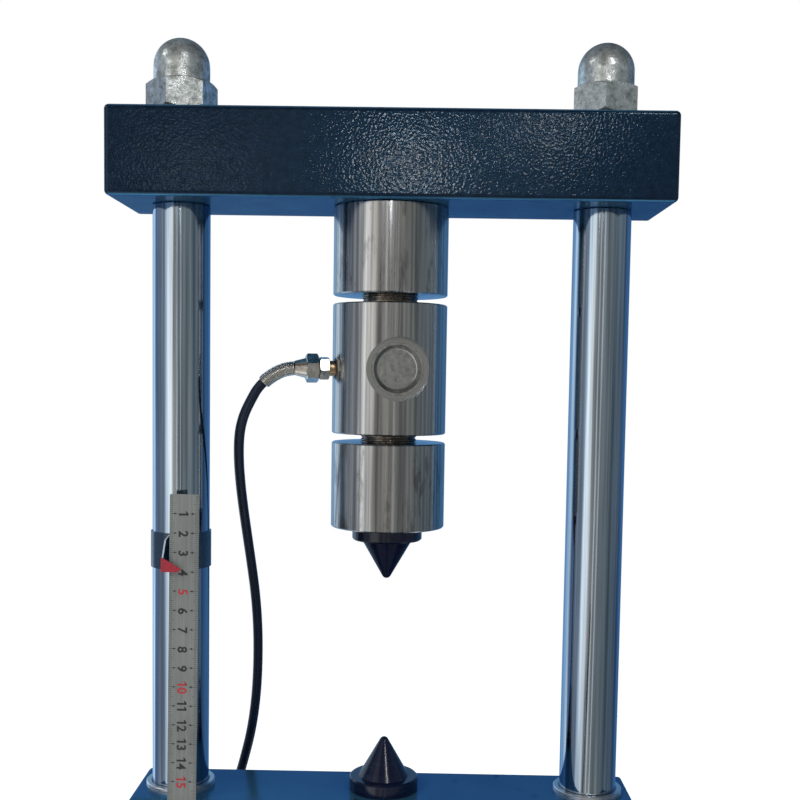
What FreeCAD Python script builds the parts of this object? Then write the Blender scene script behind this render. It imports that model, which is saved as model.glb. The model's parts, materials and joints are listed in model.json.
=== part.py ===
"""Point load tester: a two-column hand-pumped press with a load cell over two conical points.

Millimetres, +Z up. The origin is on the surface that the feet stand on, under the load line.
The two columns stand on the X axis, and the operator faces the machine along +Y.
"""
import FreeCAD, Part
import math
import os

V = FreeCAD.Vector
UP = V(0, 0, 1)

# Fits between parts
thread_fit = 0.1
seat_fit = 0.05
running_fit = 0.05
hole_clearance = 0.3

# Frame
column_dia = 30.0
column_stud_dia = 22.0
column_stud_end = 3.0
base_length = 300.0
base_depth = 200.0
base_thickness = 22.0
base_corner = 16.0
foot_height = 30.0
foot_dia = 42.0
foot_inset_x = 25.0
foot_inset_y = 24.0
foot_screw_dia = 8.0
beam_length = 284.0
beam_depth = 68.0
beam_height = 44.5
beam_edge = 2.5
clear_height = 309.5
nut_width = 32.0
nut_height = 16.0
cap_nut_hex = 15.5
cap_nut_height = 38.0
cap_nut_dome_dia = 29.0
left_nut_turn = 16.0
right_nut_turn = 21.0
washer_dia = 37.0
washer_thickness = 3.0

# Load string under the top crossbeam
stack_dia = 60.0
stack_edge = 0.6
adapter_length = 45.5
link_gap = 4.6
link_stud_dia = 29.6
link_stud_depth = 14.0
thread_pitch = 2.0
thread_groove = 0.9
cell_length = 67.4
holder_length = 44.8
hanger_bolt_dia = 16.0
hanger_head_dia = 24.0
hanger_head_height = 16.0
hanger_depth = 24.0

# Load cell details; the pockets face the operator, turned a little to the right
pocket_turn = 11.0
pocket_mouth_dia = 32.5
pocket_floor = 25.0
pocket_bore_dia = 27.0
web_half = 4.0
cover_recess = 2.8
cover_rim_dia = 24.6
cover_floor_dia = 20.2
cover_skin = 1.2
gauge_width = 9.0
gauge_height = 7.0
gauge_thickness = 0.4
wire_bore_dia = 5.0

# Cable gland on the load cell, measured outward from the cell's axis
gland_thread_dia = 8.0
gland_thread_start = 20.0
gland_nut_start = 32.0
gland_nut_length = 5.3
gland_nut_width = 10.8
gland_body_dia = 9.2
gland_body_end = 42.0
gland_cap_length = 6.6
gland_cap_width = 13.4
gland_cap_gap = 0.3
gland_nose_length = 5.8
gland_nose_dia = 7.4
seal_length = 3.0
guard_dia = 7.4

# Conical points
point_collar_dia = 37.0
point_collar_height = 7.2
cone_base_dia = 27.0
cone_angle = 60.0
tip_radius = 2.5
point_shank_dia = 16.0
point_shank_length = 22.0

# Moving crosshead
crosshead_length = 266.0
crosshead_end = 23.0
crosshead_depth = 50.0
crosshead_height = 40.0
bush_dia = 35.0
bush_head_dia = 36.4
bush_head_height = 3.2
bush_groove = 0.5
circlip_thickness = 1.5
circlip_dia = 41.0
circlip_groove = 1.0
circlip_gap = 9.0
bush_tail = 4.5

# Scale on the crosshead and pointer on the left column
ruler_width = 15.0
ruler_thickness = 0.5
ruler_top = 160.4
ruler_tail = 33.0
ruler_offset = 5.4
ruler_tilt = 0.46
ruler_screw_dia = 3.0
ruler_screw_head_dia = 5.6
ruler_screw_head_height = 2.0
ruler_screw_drop = 10.0
ruler_screw_pitch = 16.0
band_height = 19.0
band_level = 119.6
band_thickness = 0.8
band_ear = 8.0
band_gap = 2.4
pointer_screw_dia = 3.0
arm_reach = 12.0
arm_lean = 1.2
arrow_length = 10.6
arrow_height = 7.6
arrow_thickness = 0.7
arrow_rise = 1.0

# Hydraulic jack
jack_height = 188.0
jack_base_width = 112.0
jack_base_back = 52.0
jack_base_front = 96.0
jack_base_thickness = 20.0
jack_base_corner = 14.0
tank_dia = 84.0
tank_wall = 3.8
tank_height = 120.0
gasket_thickness = 1.5
barrel_dia = 50.0
barrel_bore_dia = 38.0
barrel_seat = 6.0
barrel_top = 5.0
ram_dia = 34.0
ram_stud_dia = 16.0
ram_stud_length = 12.0
piston_length = 14.0
piston_lift = 10.0
piston_spigot_dia = 20.0
piston_groove_length = 6.0
piston_groove_depth = 4.0
head_flange_dia = 92.0
head_flange_height = 10.0
head_hex_width = 66.0
head_hex_height = 12.0
wiper_dia = 42.0
wiper_height = 5.0
saddle_dia = 48.0
saddle_height = 12.0
filler_level = 96.0
filler_bore_dia = 10.0
filler_head_dia = 15.0
filler_head_length = 5.0
jack_screw_dia = 8.0
jack_screw_inset = 12.0
jack_screw_head = 8.0

# Pump and hand lever
fulcrum_y = -56.0
fulcrum_height = 54.0
pump_arm = 24.0
ear_inner = 14.0
ear_thickness = 8.0
ear_radius = 9.5
ear_foot = 24.0
fulcrum_pin_dia = 10.0
pump_boss_dia = 34.0
pump_boss_height = 8.0
pump_thread_dia = 20.0
pump_thread_length = 20.0
pump_hex_width = 26.0
pump_hex_height = 8.0
pump_barrel_dia = 24.0
pump_barrel_top = 24.0
plunger_dia = 12.0
eye_radius = 10.0
eye_thickness = 11.0
plunger_pin_dia = 8.0
slot_play = 0.35
lever_swing = 20.0
handle_angle = 25.0
cheek_inner = 8.0
cheek_thickness = 5.0
cheek_radius = 11.0
socket_start = 42.0
socket_wall = 2.4
socket_plate = 4.0
socket_length = 66.0
handle_dia = 25.0
handle_wall = 2.0
handle_length = 340.0
grip_length = 120.0
grip_thickness = 3.0
grip_end = 5.0
socket_screw_dia = 6.0
clip_thickness = 1.2
clip_dia = 15.0
clip_groove = 1.2

# Release valve
release_x = 30.0
spindle_dia = 8.0
spindle_depth = 36.0
release_boss_dia = 17.0
release_boss_length = 4.0
knob_dia = 28.0
knob_length = 14.0
knob_gap = 4.0
knob_flutes = 8
knob_flute_dia = 6.0

# Load cell cable
cable_dia = 5.4
coil_turns_across = 2
coil_layers = 4
coil_radius = 28.0
coil_x = -72.0
coil_y = 152.0
connector_y = 185.0
connector_x = -28.0
connector_dia = 16.0
connector_ring_dia = 18.0
connector_boot_length = 20.0
connector_shell_length = 27.0
connector_ring_length = 13.0
connector_cavity = 10.0
pin_count = 4
pin_dia = 1.4
pin_circle = 6.4

# Levels and places that follow from the sizes above
column_spacing = crosshead_length - 2.0 * crosshead_end
base_top = foot_height + base_thickness
head_bottom = base_top + jack_height
head_top = head_bottom + crosshead_height
beam_bottom = head_top + clear_height
beam_top = beam_bottom + beam_height
column_x = column_spacing / 2.0
adapter_bottom = beam_bottom - adapter_length
cell_top = adapter_bottom - link_gap
cell_bottom = cell_top - cell_length
cell_middle = (cell_top + cell_bottom) / 2.0
holder_top = cell_bottom - link_gap
holder_bottom = holder_top - holder_length
jack_top = base_top + jack_base_thickness
fulcrum_z = jack_top + fulcrum_height
pump_y = fulcrum_y - pump_arm
tank_top = jack_top + tank_height
release_z = base_top + jack_base_thickness / 2.0
guard_start = (gland_nut_start + gland_nut_length + gland_cap_gap
               + gland_cap_length + gland_nose_length)

pocket_axis = V(math.sin(math.radians(pocket_turn)), -math.cos(math.radians(pocket_turn)), 0)
gland_axis = V(-math.cos(math.radians(pocket_turn)), -math.sin(math.radians(pocket_turn)), 0)
lever_axis = V(0, -math.cos(math.radians(handle_angle)), math.sin(math.radians(handle_angle)))
cell_centre = V(0, 0, cell_middle)
fulcrum = V(0, fulcrum_y, fulcrum_z)

# Route of the hanging cable, from the gland to the coil behind the base, chosen by hand
cable_route = [
    (-44.2, -8.6, 505.7), (-51.5, -10.0, 505.7), (-58.8, -11.2, 502.9), (-67.0, -11.8, 496.6),
    (-72.4, -9.3, 487.5), (-76.4, -6.0, 479.6), (-79.2, -0.8, 470.0), (-80.5, 6.5, 457.0),
    (-80.8, 14.9, 443.0), (-80.3, 23.1, 428.0), (-79.2, 30.7, 412.0), (-77.7, 37.1, 395.0),
    (-75.9, 42.2, 376.0), (-74.9, 45.6, 356.0), (-75.0, 47.7, 335.0), (-76.2, 49.4, 314.0),
    (-79.2, 51.4, 293.0), (-84.6, 54.0, 272.0), (-90.6, 58.2, 252.0), (-95.8, 64.4, 231.0),
    (-100.0, 73.0, 208.0), (-103.0, 83.0, 180.0), (-104.5, 92.4, 150.0), (-104.8, 101.0, 118.0),
    (-104.4, 109.4, 86.0), (-103.7, 119.0, 57.5), (-103.1, 131.2, 35.5), (-102.7, 144.5, 23.0),
    (-102.7, 158.0, 18.6),
]
tail_route = [
    (-72.0, 182.7, 2.9), (-60.0, 183.3, 3.1), (-49.0, 184.3, 5.4), (-38.0, 184.9, 8.3),
    (-28.3, 185.0, 9.0),
]


def cylinder(radius, low, high, x=0.0, y=0.0):
    return Part.makeCylinder(radius, high - low, V(x, y, low), UP)


def tube(outer, inner, low, high, x=0.0, y=0.0):
    return cylinder(outer, low, high, x, y).cut(cylinder(inner, low, high, x, y))


def rod(radius, start, direction, begin, end):
    """A round bar along direction, from begin to end as distances from start."""
    return Part.makeCylinder(radius, end - begin, start + direction * begin, direction)


def turned(points, x=0.0, y=0.0):
    """A solid of revolution about +Z; points are (radius, height) pairs."""
    corners = [V(r, 0, z) for r, z in points]
    face = Part.Face(Part.makePolygon(corners + corners[:1]))
    solid = face.revolve(V(0, 0, 0), UP, 360)
    solid.translate(V(x, y, 0))
    return solid


def aimed(shape, origin, direction):
    """Moves a shape that was made along +Z so that it starts at origin and runs along direction."""
    moved = shape.copy()
    turn = FreeCAD.Rotation(UP, direction)
    moved.Placement = FreeCAD.Placement(origin, turn).multiply(moved.Placement)
    return moved


def plate(outline, thickness, offset):
    """A flat sheet in the YZ plane; outline holds (y, z) pairs, offset is its lower X face."""
    corners = [V(offset, y, z) for y, z in outline]
    return Part.Face(Part.makePolygon(corners + corners[:1])).extrude(V(thickness, 0, 0))


def hex_bar(width, low, high, x=0.0, y=0.0, turn=0.0, bore=0.0):
    """A hexagon across flats, with the corners of both ends turned off at 30 degrees."""
    corner = width / 2.0 / math.cos(math.radians(30))
    flat = width * 0.475
    fall = (corner - flat) * math.tan(math.radians(30))
    sides = [V(x + corner * math.cos(math.radians(turn + 60 * k)),
               y + corner * math.sin(math.radians(turn + 60 * k)), low) for k in range(6)]
    body = Part.Face(Part.makePolygon(sides + sides[:1])).extrude(V(0, 0, high - low))
    turning = turned([(0, low), (flat, low), (corner, low + fall), (corner, high - fall),
                      (flat, high), (0, high)], x, y)
    body = body.common(turning)
    if bore:
        body = body.cut(cylinder(bore, low, high, x, y))
    return body


def block(length, depth, low, high, corner=0.0, x=0.0, y=0.0):
    """A rectangular block about x, y; corner rounds its four upright edges."""
    body = Part.makeBox(length, depth, high - low, V(x - length / 2.0, y - depth / 2.0, low))
    if corner:
        upright = [e for e in body.Edges if abs(e.Length - (high - low)) < 1e-6
                   and abs(e.Vertexes[0].Z - e.Vertexes[1].Z) > 1e-6]
        body = body.makeFillet(corner, upright)
    return body


def edges_at(shape, level):
    """The edges that lie wholly at one height."""
    return [e for e in shape.Edges
            if abs(e.BoundBox.ZMin - level) < 1e-6 and abs(e.BoundBox.ZMax - level) < 1e-6]


def route_radii(points):
    """The bend radius at each inner point of a cable route."""
    radii = []
    for before, here, after in zip(points, points[1:], points[2:]):
        into, out = here - before, after - here
        half = into.getAngle(out) / 2.0
        radii.append(0.45 * min(into.Length, out.Length) / math.tan(half))
    return radii


def route_wire(points, radii):
    """Straight runs joined by tangent arcs of the given radii."""
    edges = []
    last = points[0]
    for before, here, after, radius in zip(points, points[1:], points[2:], radii):
        into = (here - before).normalize()
        out = (after - here).normalize()
        half = into.getAngle(out) / 2.0
        reach = radius * math.tan(half)
        start = here - into * reach
        end = here + out * reach
        towards = (out - into).normalize()
        middle = here + towards * (radius / math.cos(half) - radius)
        edges.append(Part.LineSegment(last, start).toShape())
        edges.append(Part.Arc(start, middle, end).toShape())
        last = end
    edges.append(Part.LineSegment(last, points[-1]).toShape())
    return Part.Wire(edges)


def swept(wire, radius, start, direction):
    """A round solid along a wire."""
    ring = Part.Wire(Part.makeCircle(radius, start, direction))
    return wire.makePipeShell([ring], True, False)


def both_sides(make):
    """A group of the left and right copies of a part; make takes the X position."""
    return Part.makeCompound([make(-column_x), make(column_x)])


def cable_points():
    """The hanging cable's points, drawn out with the height of the load cell."""
    top = cable_route[0][2]
    return [V(x, y, z * cell_middle / top) for x, y, z in cable_route]


def foot_places():
    x = base_length / 2.0 - foot_inset_x
    y = base_depth / 2.0 - foot_inset_y
    return [(sx * x, sy * y) for sx in (-1, 1) for sy in (-1, 1)]


def jack_screw_places():
    x = jack_base_width / 2.0 - jack_screw_inset
    back = jack_base_back - jack_screw_inset
    front = jack_screw_inset - jack_base_front
    return [(-x, front), (x, front), (-x, back), (x, back)]


# Frame

def rubber_feet():
    bore = foot_screw_dia / 2.0 + thread_fit
    low = foot_dia / 2.0 - 3.0
    feet = []
    for x, y in foot_places():
        foot = turned([(0, 0), (low - 2.0, 0), (low, 2.0), (foot_dia / 2.0, foot_height),
                       (0, foot_height)], x, y)
        feet.append(foot.cut(cylinder(bore, foot_height / 3.0, foot_height, x, y)))
    return Part.makeCompound(feet)


def foot_screws():
    """Countersunk screws put in from the top of the base plate."""
    shank = foot_screw_dia / 2.0
    head = foot_screw_dia - seat_fit
    screws = []
    for x, y in foot_places():
        screw = turned([(0, foot_height / 3.0 + 1.0), (shank, foot_height / 3.0 + 1.0),
                        (shank, base_top - shank), (head, base_top), (0, base_top)], x, y)
        socket = hex_bar(foot_screw_dia * 0.62, base_top - shank, base_top + 2.0, x, y)
        screws.append(screw.cut(socket))
    return Part.makeCompound(screws)


def base_plate():
    body = block(base_length, base_depth, foot_height, base_top, base_corner)
    body = body.makeFillet(beam_edge, edges_at(body, base_top))
    hole = column_stud_dia / 2.0 + hole_clearance
    for x in (-column_x, column_x):
        body = body.cut(cylinder(hole, foot_height, base_top, x))
    shank = foot_screw_dia / 2.0
    for x, y in foot_places():
        sink = turned([(0, foot_height), (shank + thread_fit, foot_height),
                       (shank + thread_fit, base_top - shank + thread_fit),
                       (foot_screw_dia, base_top), (0, base_top)], x, y)
        body = body.cut(sink)
    for x, y in jack_screw_places():
        body = body.cut(cylinder(jack_screw_dia / 2.0 + thread_fit, foot_height, base_top, x, y))
    return body


def column(x):
    """A ground bar, turned down at both ends to studs that take the nuts."""
    stud = column_stud_dia / 2.0
    bar = column_dia / 2.0
    low = foot_height - washer_thickness - nut_height - column_stud_end
    high = beam_top + washer_thickness + cap_nut_height - cap_nut_dome_dia / 4.0
    return turned([(0, low), (stud - 1.5, low), (stud, low + 1.5), (stud, base_top),
                   (bar - 0.6, base_top), (bar, base_top + 0.6), (bar, beam_bottom - 0.6),
                   (bar - 0.6, beam_bottom), (stud, beam_bottom), (stud, high - 1.5),
                   (stud - 1.5, high), (0, high)], x)


def column_washers():
    bore = column_stud_dia / 2.0 + hole_clearance
    rings = []
    for x in (-column_x, column_x):
        for low in (foot_height - washer_thickness, beam_top):
            ring = tube(washer_dia / 2.0, bore, low, low + washer_thickness, x)
            rings.append(ring)
    return Part.makeCompound(rings)


def lower_column_nuts():
    high = foot_height - washer_thickness
    bore = column_stud_dia / 2.0 + thread_fit
    return both_sides(lambda x: hex_bar(nut_width, high - nut_height, high, x, 0, 0, bore))


def cap_nut(x):
    """A domed nut: hexagon, short neck and a half-round cap over the end of the stud."""
    low = beam_top + washer_thickness
    dome = cap_nut_dome_dia / 2.0
    turn = left_nut_turn if x < 0 else right_nut_turn
    body = hex_bar(nut_width, low, low + cap_nut_hex, x, 0, turn)
    shoulder = low + cap_nut_height - dome
    cap = cylinder(dome, low + cap_nut_hex / 2.0, shoulder, x)
    ball = Part.makeSphere(dome, V(x, 0, shoulder), UP, 0, 90, 360)
    body = body.fuse([cap, ball]).removeSplitter()
    depth = cap_nut_height - cap_nut_dome_dia / 4.0 + 1.0
    return body.cut(cylinder(column_stud_dia / 2.0 + thread_fit, low, low + depth, x))


def top_crossbeam():
    body = block(beam_length, beam_depth, beam_bottom, beam_top)
    body = body.makeFillet(beam_edge, body.Edges)
    hole = column_stud_dia / 2.0 + hole_clearance
    for x in (-column_x, column_x):
        body = body.cut(cylinder(hole, beam_bottom, beam_top, x))
    sink = beam_top - hanger_head_height - 1.0
    body = body.cut(cylinder(hanger_bolt_dia / 2.0 + hole_clearance, beam_bottom, sink))
    return body.cut(cylinder(hanger_head_dia / 2.0 + 1.0, sink, beam_top))


# Load string

def hanger_bolt():
    """The socket head screw that hangs the load string on the crossbeam."""
    shank = hanger_bolt_dia / 2.0
    head = hanger_head_dia / 2.0
    seat = beam_top - hanger_head_height - 1.0
    top = seat + hanger_head_height
    low = beam_bottom - hanger_depth
    body = turned([(0, low), (shank - 1.2, low), (shank, low + 1.2), (shank, seat), (head, seat),
                   (head, top - 1.0), (head - 1.0, top), (0, top)])
    return body.cut(hex_bar(hanger_bolt_dia * 0.875, top - shank, top + 3.0))


def stack_cylinder(low, high):
    radius = stack_dia / 2.0
    return turned([(0, low), (radius - stack_edge, low), (radius, low + stack_edge),
                   (radius, high - stack_edge), (radius - stack_edge, high), (0, high)])


def stud_bore(face, inward):
    """The tapped hole for a link stud; inward is +1 or -1 along Z from the face."""
    depth = link_stud_depth + 1.0
    low = min(face, face + inward * depth)
    return cylinder(link_stud_dia / 2.0 + thread_fit, low, low + depth)


def upper_adapter():
    body = stack_cylinder(adapter_bottom, beam_bottom)
    depth = hanger_depth + 1.5
    body = body.cut(cylinder(hanger_bolt_dia / 2.0 + thread_fit, beam_bottom - depth, beam_bottom))
    return body.cut(stud_bore(adapter_bottom, 1))


def link_stud(low_face):
    """A threaded stud between two cylinders, with the thread cut where it shows."""
    radius = link_stud_dia / 2.0
    low = low_face - link_stud_depth
    high = low_face + link_gap + link_stud_depth
    profile = [(0, low), (radius - 1.0, low), (radius, low + 1.0)]
    count = int(link_gap / thread_pitch) + 1
    first = low_face + link_gap / 2.0 - (count - 1) * thread_pitch / 2.0
    for k in range(count):
        middle = first + k * thread_pitch
        profile += [(radius, middle - thread_pitch * 0.45), (radius - thread_groove, middle),
                    (radius, middle + thread_pitch * 0.45)]
    profile += [(radius, high - 1.0), (radius - 1.0, high), (0, high)]
    return turned(profile)


def link_studs():
    return Part.makeCompound([link_stud(cell_top), link_stud(holder_top)])


def load_cell_body():
    """The column load cell: two gauge pockets back to back, with a thin web between them."""
    body = stack_cylinder(cell_bottom, cell_top)
    body = body.cut(stud_bore(cell_top, -1)).cut(stud_bore(cell_bottom, 1))
    for axis in (pocket_axis, pocket_axis * -1):
        mouth = rod(pocket_mouth_dia / 2.0, cell_centre, axis, pocket_floor, stack_dia / 2.0 + 1.0)
        bore = rod(pocket_bore_dia / 2.0 + seat_fit, cell_centre, axis, web_half, pocket_floor)
        body = body.cut(mouth).cut(bore)
    thread = gland_thread_dia / 2.0 + thread_fit
    body = body.cut(rod(thread, cell_centre, gland_axis, gland_thread_start - 1.0, stack_dia / 2.0))
    inner = pocket_bore_dia / 2.0 - wire_bore_dia
    body = body.cut(rod(wire_bore_dia / 2.0, cell_centre, gland_axis, inner, gland_thread_start))
    across = cell_centre + gland_axis * (inner + wire_bore_dia / 2.0)
    return body.cut(rod(wire_bore_dia * 0.4, across, pocket_axis, -web_half - 1, web_half + 1))


def gauge_covers():
    """Stepped lids that seal the gauge pockets; their middle is recessed with a bevelled rim."""
    outer = pocket_bore_dia / 2.0
    rim = cover_rim_dia / 2.0
    floor = cover_floor_dia / 2.0
    inside = pocket_floor - cover_recess - cover_skin
    lid = turned([(0, inside), (outer, inside), (outer, pocket_floor), (rim, pocket_floor),
                  (floor + 0.5, pocket_floor - cover_recess + 0.4),
                  (floor, pocket_floor - cover_recess), (0, pocket_floor - cover_recess)])
    return Part.makeCompound([aimed(lid, cell_centre, pocket_axis),
                              aimed(lid, cell_centre, pocket_axis * -1)])


def strain_gauges():
    """One foil gauge bonded to each face of the web."""
    foil = Part.makeBox(gauge_height, gauge_width, gauge_thickness,
                        V(-gauge_height / 2.0, -gauge_width / 2.0, web_half))
    return Part.makeCompound([aimed(foil, cell_centre, pocket_axis),
                              aimed(foil, cell_centre, pocket_axis * -1)])


def point_holder():
    body = stack_cylinder(holder_bottom, holder_top)
    body = body.cut(stud_bore(holder_top, -1))
    depth = point_shank_length + 1.0
    bore = point_shank_dia / 2.0 + thread_fit
    return body.cut(cylinder(bore, holder_bottom, holder_bottom + depth))


def conical_point():
    """A hardened cone with a rounded tip, a collar and a screwed shank, pointing up from zero."""
    shank = point_shank_dia / 2.0
    collar = point_collar_dia / 2.0
    foot = cone_base_dia / 2.0
    half = math.radians(cone_angle / 2.0)
    apex = point_collar_height + foot / math.tan(half)
    ball = apex - tip_radius / math.sin(half)
    tangent = V(tip_radius * math.cos(half), 0, ball + tip_radius * math.sin(half))
    middle = V(tip_radius * math.cos(math.radians(60)), 0,
               ball + tip_radius * math.sin(math.radians(60)))
    tip = V(0, 0, ball + tip_radius)
    bevel = 0.8
    outline = [V(0, 0, -point_shank_length), V(shank - 1.0, 0, -point_shank_length),
               V(shank, 0, 1.0 - point_shank_length), V(shank, 0, 0), V(collar - 0.4, 0, 0),
               V(collar, 0, 0.4), V(collar, 0, point_collar_height - bevel),
               V(collar - bevel, 0, point_collar_height), V(foot, 0, point_collar_height), tangent]
    edges = [Part.LineSegment(a, b).toShape() for a, b in zip(outline, outline[1:])]
    edges.append(Part.Arc(tangent, middle, tip).toShape())
    edges.append(Part.LineSegment(tip, outline[0]).toShape())
    return Part.Face(Part.Wire(edges)).revolve(V(0, 0, 0), UP, 360)


def upper_point():
    return aimed(conical_point(), V(0, 0, holder_bottom), V(0, 0, -1))


def lower_point():
    return aimed(conical_point(), V(0, 0, head_top), UP)


# Cable gland

def gland_nipple():
    thread = gland_thread_dia / 2.0
    wide = gland_body_dia / 2.0
    bore = cable_dia / 2.0 - 0.8
    body = turned([(bore, gland_thread_start), (thread, gland_thread_start),
                   (thread, gland_nut_start), (wide, gland_nut_start), (wide, gland_body_end),
                   (bore, gland_body_end)])
    return aimed(body, cell_centre, gland_axis)


def gland_lock_nut():
    end = gland_nut_start + gland_nut_length
    body = hex_bar(gland_nut_width, gland_nut_start, end, 0, 0, 30,
                   gland_body_dia / 2.0 + thread_fit)
    return aimed(body, cell_centre, gland_axis)


def gland_cap():
    start = gland_nut_start + gland_nut_length + gland_cap_gap
    end = start + gland_cap_length
    nose = cylinder(gland_cap_width * 0.39, end, end + 0.1)
    nose = nose.fuse(Part.makeCone(gland_cap_width * 0.39, gland_nose_dia / 2.0,
                                   gland_nose_length - 0.1, V(0, 0, end + 0.1), UP))
    body = hex_bar(gland_cap_width, start, end).fuse(nose).removeSplitter()
    seal_end = gland_body_end + seal_length
    body = body.cut(cylinder(gland_body_dia / 2.0 + thread_fit, start, seal_end))
    body = body.cut(cylinder(cable_dia / 2.0 + thread_fit, seal_end, guard_start))
    return aimed(body, cell_centre, gland_axis)


def gland_seal():
    body = cylinder(gland_body_dia / 2.0, gland_body_end, gland_body_end + seal_length)
    return aimed(body, cell_centre, gland_axis)


def spring_guard():
    """The close-wound spring sleeve that bends with the cable where it leaves the gland."""
    route = cable_points()[:5]
    wire = route_wire(route, route_radii(route))
    direction = (route[1] - route[0]).normalize()
    sleeve = swept(wire, guard_dia / 2.0, route[0], direction)
    sleeve = sleeve.cut(swept(wire, cable_dia / 2.0 + thread_fit, route[0], direction))
    sleeve = sleeve.cut(rod(guard_dia, cell_centre, gland_axis, 0, guard_start))
    end = route[2] + (route[3] - route[2]) * 0.8
    onward = (route[3] - route[2]).normalize()
    return sleeve.cut(rod(4.0 * guard_dia, end, onward, 0, 4.0 * guard_dia))


def cable_tube(route, name):
    radii = route_radii(route)
    wire = route_wire(route, radii)
    body = swept(wire, cable_dia / 2.0, route[0], (route[1] - route[0]).normalize())
    section = math.pi * cable_dia * cable_dia / 4.0
    print(name, "length", round(wire.Length, 1), "volume over section times length",
          round(body.Volume / section / wire.Length, 4))
    print(name, "bend radii", [round(r, 1) for r in radii])
    return body


def cable_coil():
    """The outer shape of the put-away turns."""
    half = coil_turns_across * cable_dia / 2.0
    height = coil_layers * cable_dia
    body = tube(coil_radius + half, coil_radius - half, 0, height, coil_x, coil_y)
    return body.makeFillet(cable_dia / 2.0 - 0.2, edges_at(body, 0) + edges_at(body, height))


def connector_boot():
    z = connector_ring_dia / 2.0
    wide = connector_dia / 2.0 - 1.5
    narrow = cable_dia / 2.0 + 1.0
    body = turned([(0, 0), (narrow, 0), (narrow + 0.6, 4.0), (wide, connector_boot_length - 5.0),
                   (wide, connector_boot_length), (0, connector_boot_length)])
    return aimed(body, V(connector_x, connector_y, z), V(1, 0, 0))


def connector_shell():
    """The round metal plug, with its contact pins inside the open end."""
    z = connector_ring_dia / 2.0
    radius = connector_dia / 2.0
    ring = connector_ring_dia / 2.0
    end = connector_shell_length
    step = end - connector_ring_length
    body = turned([(0, 0), (radius - 1.0, 0), (radius, 1.0), (radius, step), (ring, step + 0.6),
                   (ring, end - 0.8), (ring - 0.8, end), (0, end)])
    body = body.cut(cylinder(radius - 1.8, end - connector_cavity, end))
    for k in range(pin_count):
        a = 2 * math.pi * (k + 0.5) / pin_count
        body = body.fuse(cylinder(pin_dia / 2.0, end - connector_cavity - 1.0, end - 3.0,
                                  pin_circle / 2.0 * math.cos(a), pin_circle / 2.0 * math.sin(a)))
    return aimed(body, V(connector_x + connector_boot_length, connector_y, z), V(1, 0, 0))


# Moving crosshead

def lower_crosshead():
    body = block(crosshead_length, crosshead_depth, head_bottom, head_top)
    body = body.makeFillet(beam_edge, body.Edges)
    for x in (-column_x, column_x):
        body = body.cut(cylinder(bush_dia / 2.0 + seat_fit, head_bottom, head_top, x))
    shank = point_shank_dia / 2.0 + thread_fit
    body = body.cut(cylinder(shank, head_top - point_shank_length - 1.0, head_top))
    stud = ram_stud_dia / 2.0 + thread_fit
    body = body.cut(cylinder(stud, head_bottom, head_bottom + ram_stud_length + 1.0))
    for x, z in ruler_screw_places():
        front = V(x, -crosshead_depth / 2.0, z)
        body = body.cut(rod(ruler_screw_dia / 2.0 + thread_fit, front, V(0, 1, 0), 0, 7.0))
    return body


def guide_bush(x):
    """A plain bearing sleeve with a grooved head that stands on the crosshead."""
    bore = column_dia / 2.0 + running_fit
    outer = bush_dia / 2.0
    head = bush_head_dia / 2.0
    top = head_top + bush_head_height
    low = head_bottom - bush_tail
    clip_low = head_bottom - circlip_thickness
    neck = outer - circlip_groove
    return turned([(bore, low), (outer - 0.5, low), (outer, low + 0.5), (outer, clip_low - 0.1),
                   (neck, clip_low - 0.1), (neck, head_bottom), (outer, head_bottom),
                   (outer, head_top), (head, head_top), (head, head_top + 1.1),
                   (head - bush_groove, head_top + 1.35), (head - bush_groove, head_top + 1.75),
                   (head, head_top + 2.0), (head, top - 0.4), (head - 0.4, top),
                   (bore + 0.6, top), (bore, top - 0.6)], x)


def circlip(x):
    """A snap ring under the crosshead, open towards the back, with its two plier eyes."""
    inner = bush_dia / 2.0 - circlip_groove + seat_fit
    outer = circlip_dia / 2.0
    low = head_bottom - circlip_thickness
    ring = tube(outer, inner, low, head_bottom, x)
    eye_y = outer + 0.6
    eyes = [cylinder(2.6, low, head_bottom, x + s * circlip_gap * 0.72, eye_y - 2.2)
            for s in (-1, 1)]
    body = ring.fuse(eyes)
    body = body.cut(cylinder(inner, low, head_bottom, x))
    body = body.cut(Part.makeBox(circlip_gap, outer + 4.0, circlip_thickness,
                                 V(x - circlip_gap / 2.0, 0, low)))
    for s in (-1, 1):
        body = body.cut(cylinder(1.1, low, head_bottom, x + s * circlip_gap * 0.78, eye_y - 2.0))
    return body.removeSplitter()


def ruler_line(z):
    """The X position of the ruler's middle at a height above the crosshead's top face."""
    return ruler_offset - column_x + (z + ruler_tail) * math.tan(math.radians(ruler_tilt))


def ruler_screw_places():
    drops = [-ruler_screw_drop, -ruler_screw_drop - ruler_screw_pitch]
    return [(ruler_line(z), head_top + z) for z in drops]


def scale_ruler():
    """A thin steel rule, screwed to the crosshead and leaning a little, as in use."""
    length = ruler_top + ruler_tail
    front = -crosshead_depth / 2.0 - ruler_thickness
    body = Part.makeBox(ruler_width, ruler_thickness, length, V(-ruler_width / 2.0, front, 0))
    corners = [e for e in body.Edges if abs(e.Length - ruler_thickness) < 1e-6]
    body = body.makeFillet(0.8, corners)
    turn = FreeCAD.Rotation(V(0, 1, 0), ruler_tilt)
    foot = V(ruler_offset - column_x, 0, head_top - ruler_tail)
    body.Placement = FreeCAD.Placement(foot, turn)
    for x, z in ruler_screw_places():
        body = body.cut(rod(ruler_screw_dia / 2.0 + thread_fit, V(x, front, z), V(0, 1, 0),
                            0, ruler_thickness))
    return body


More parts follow.
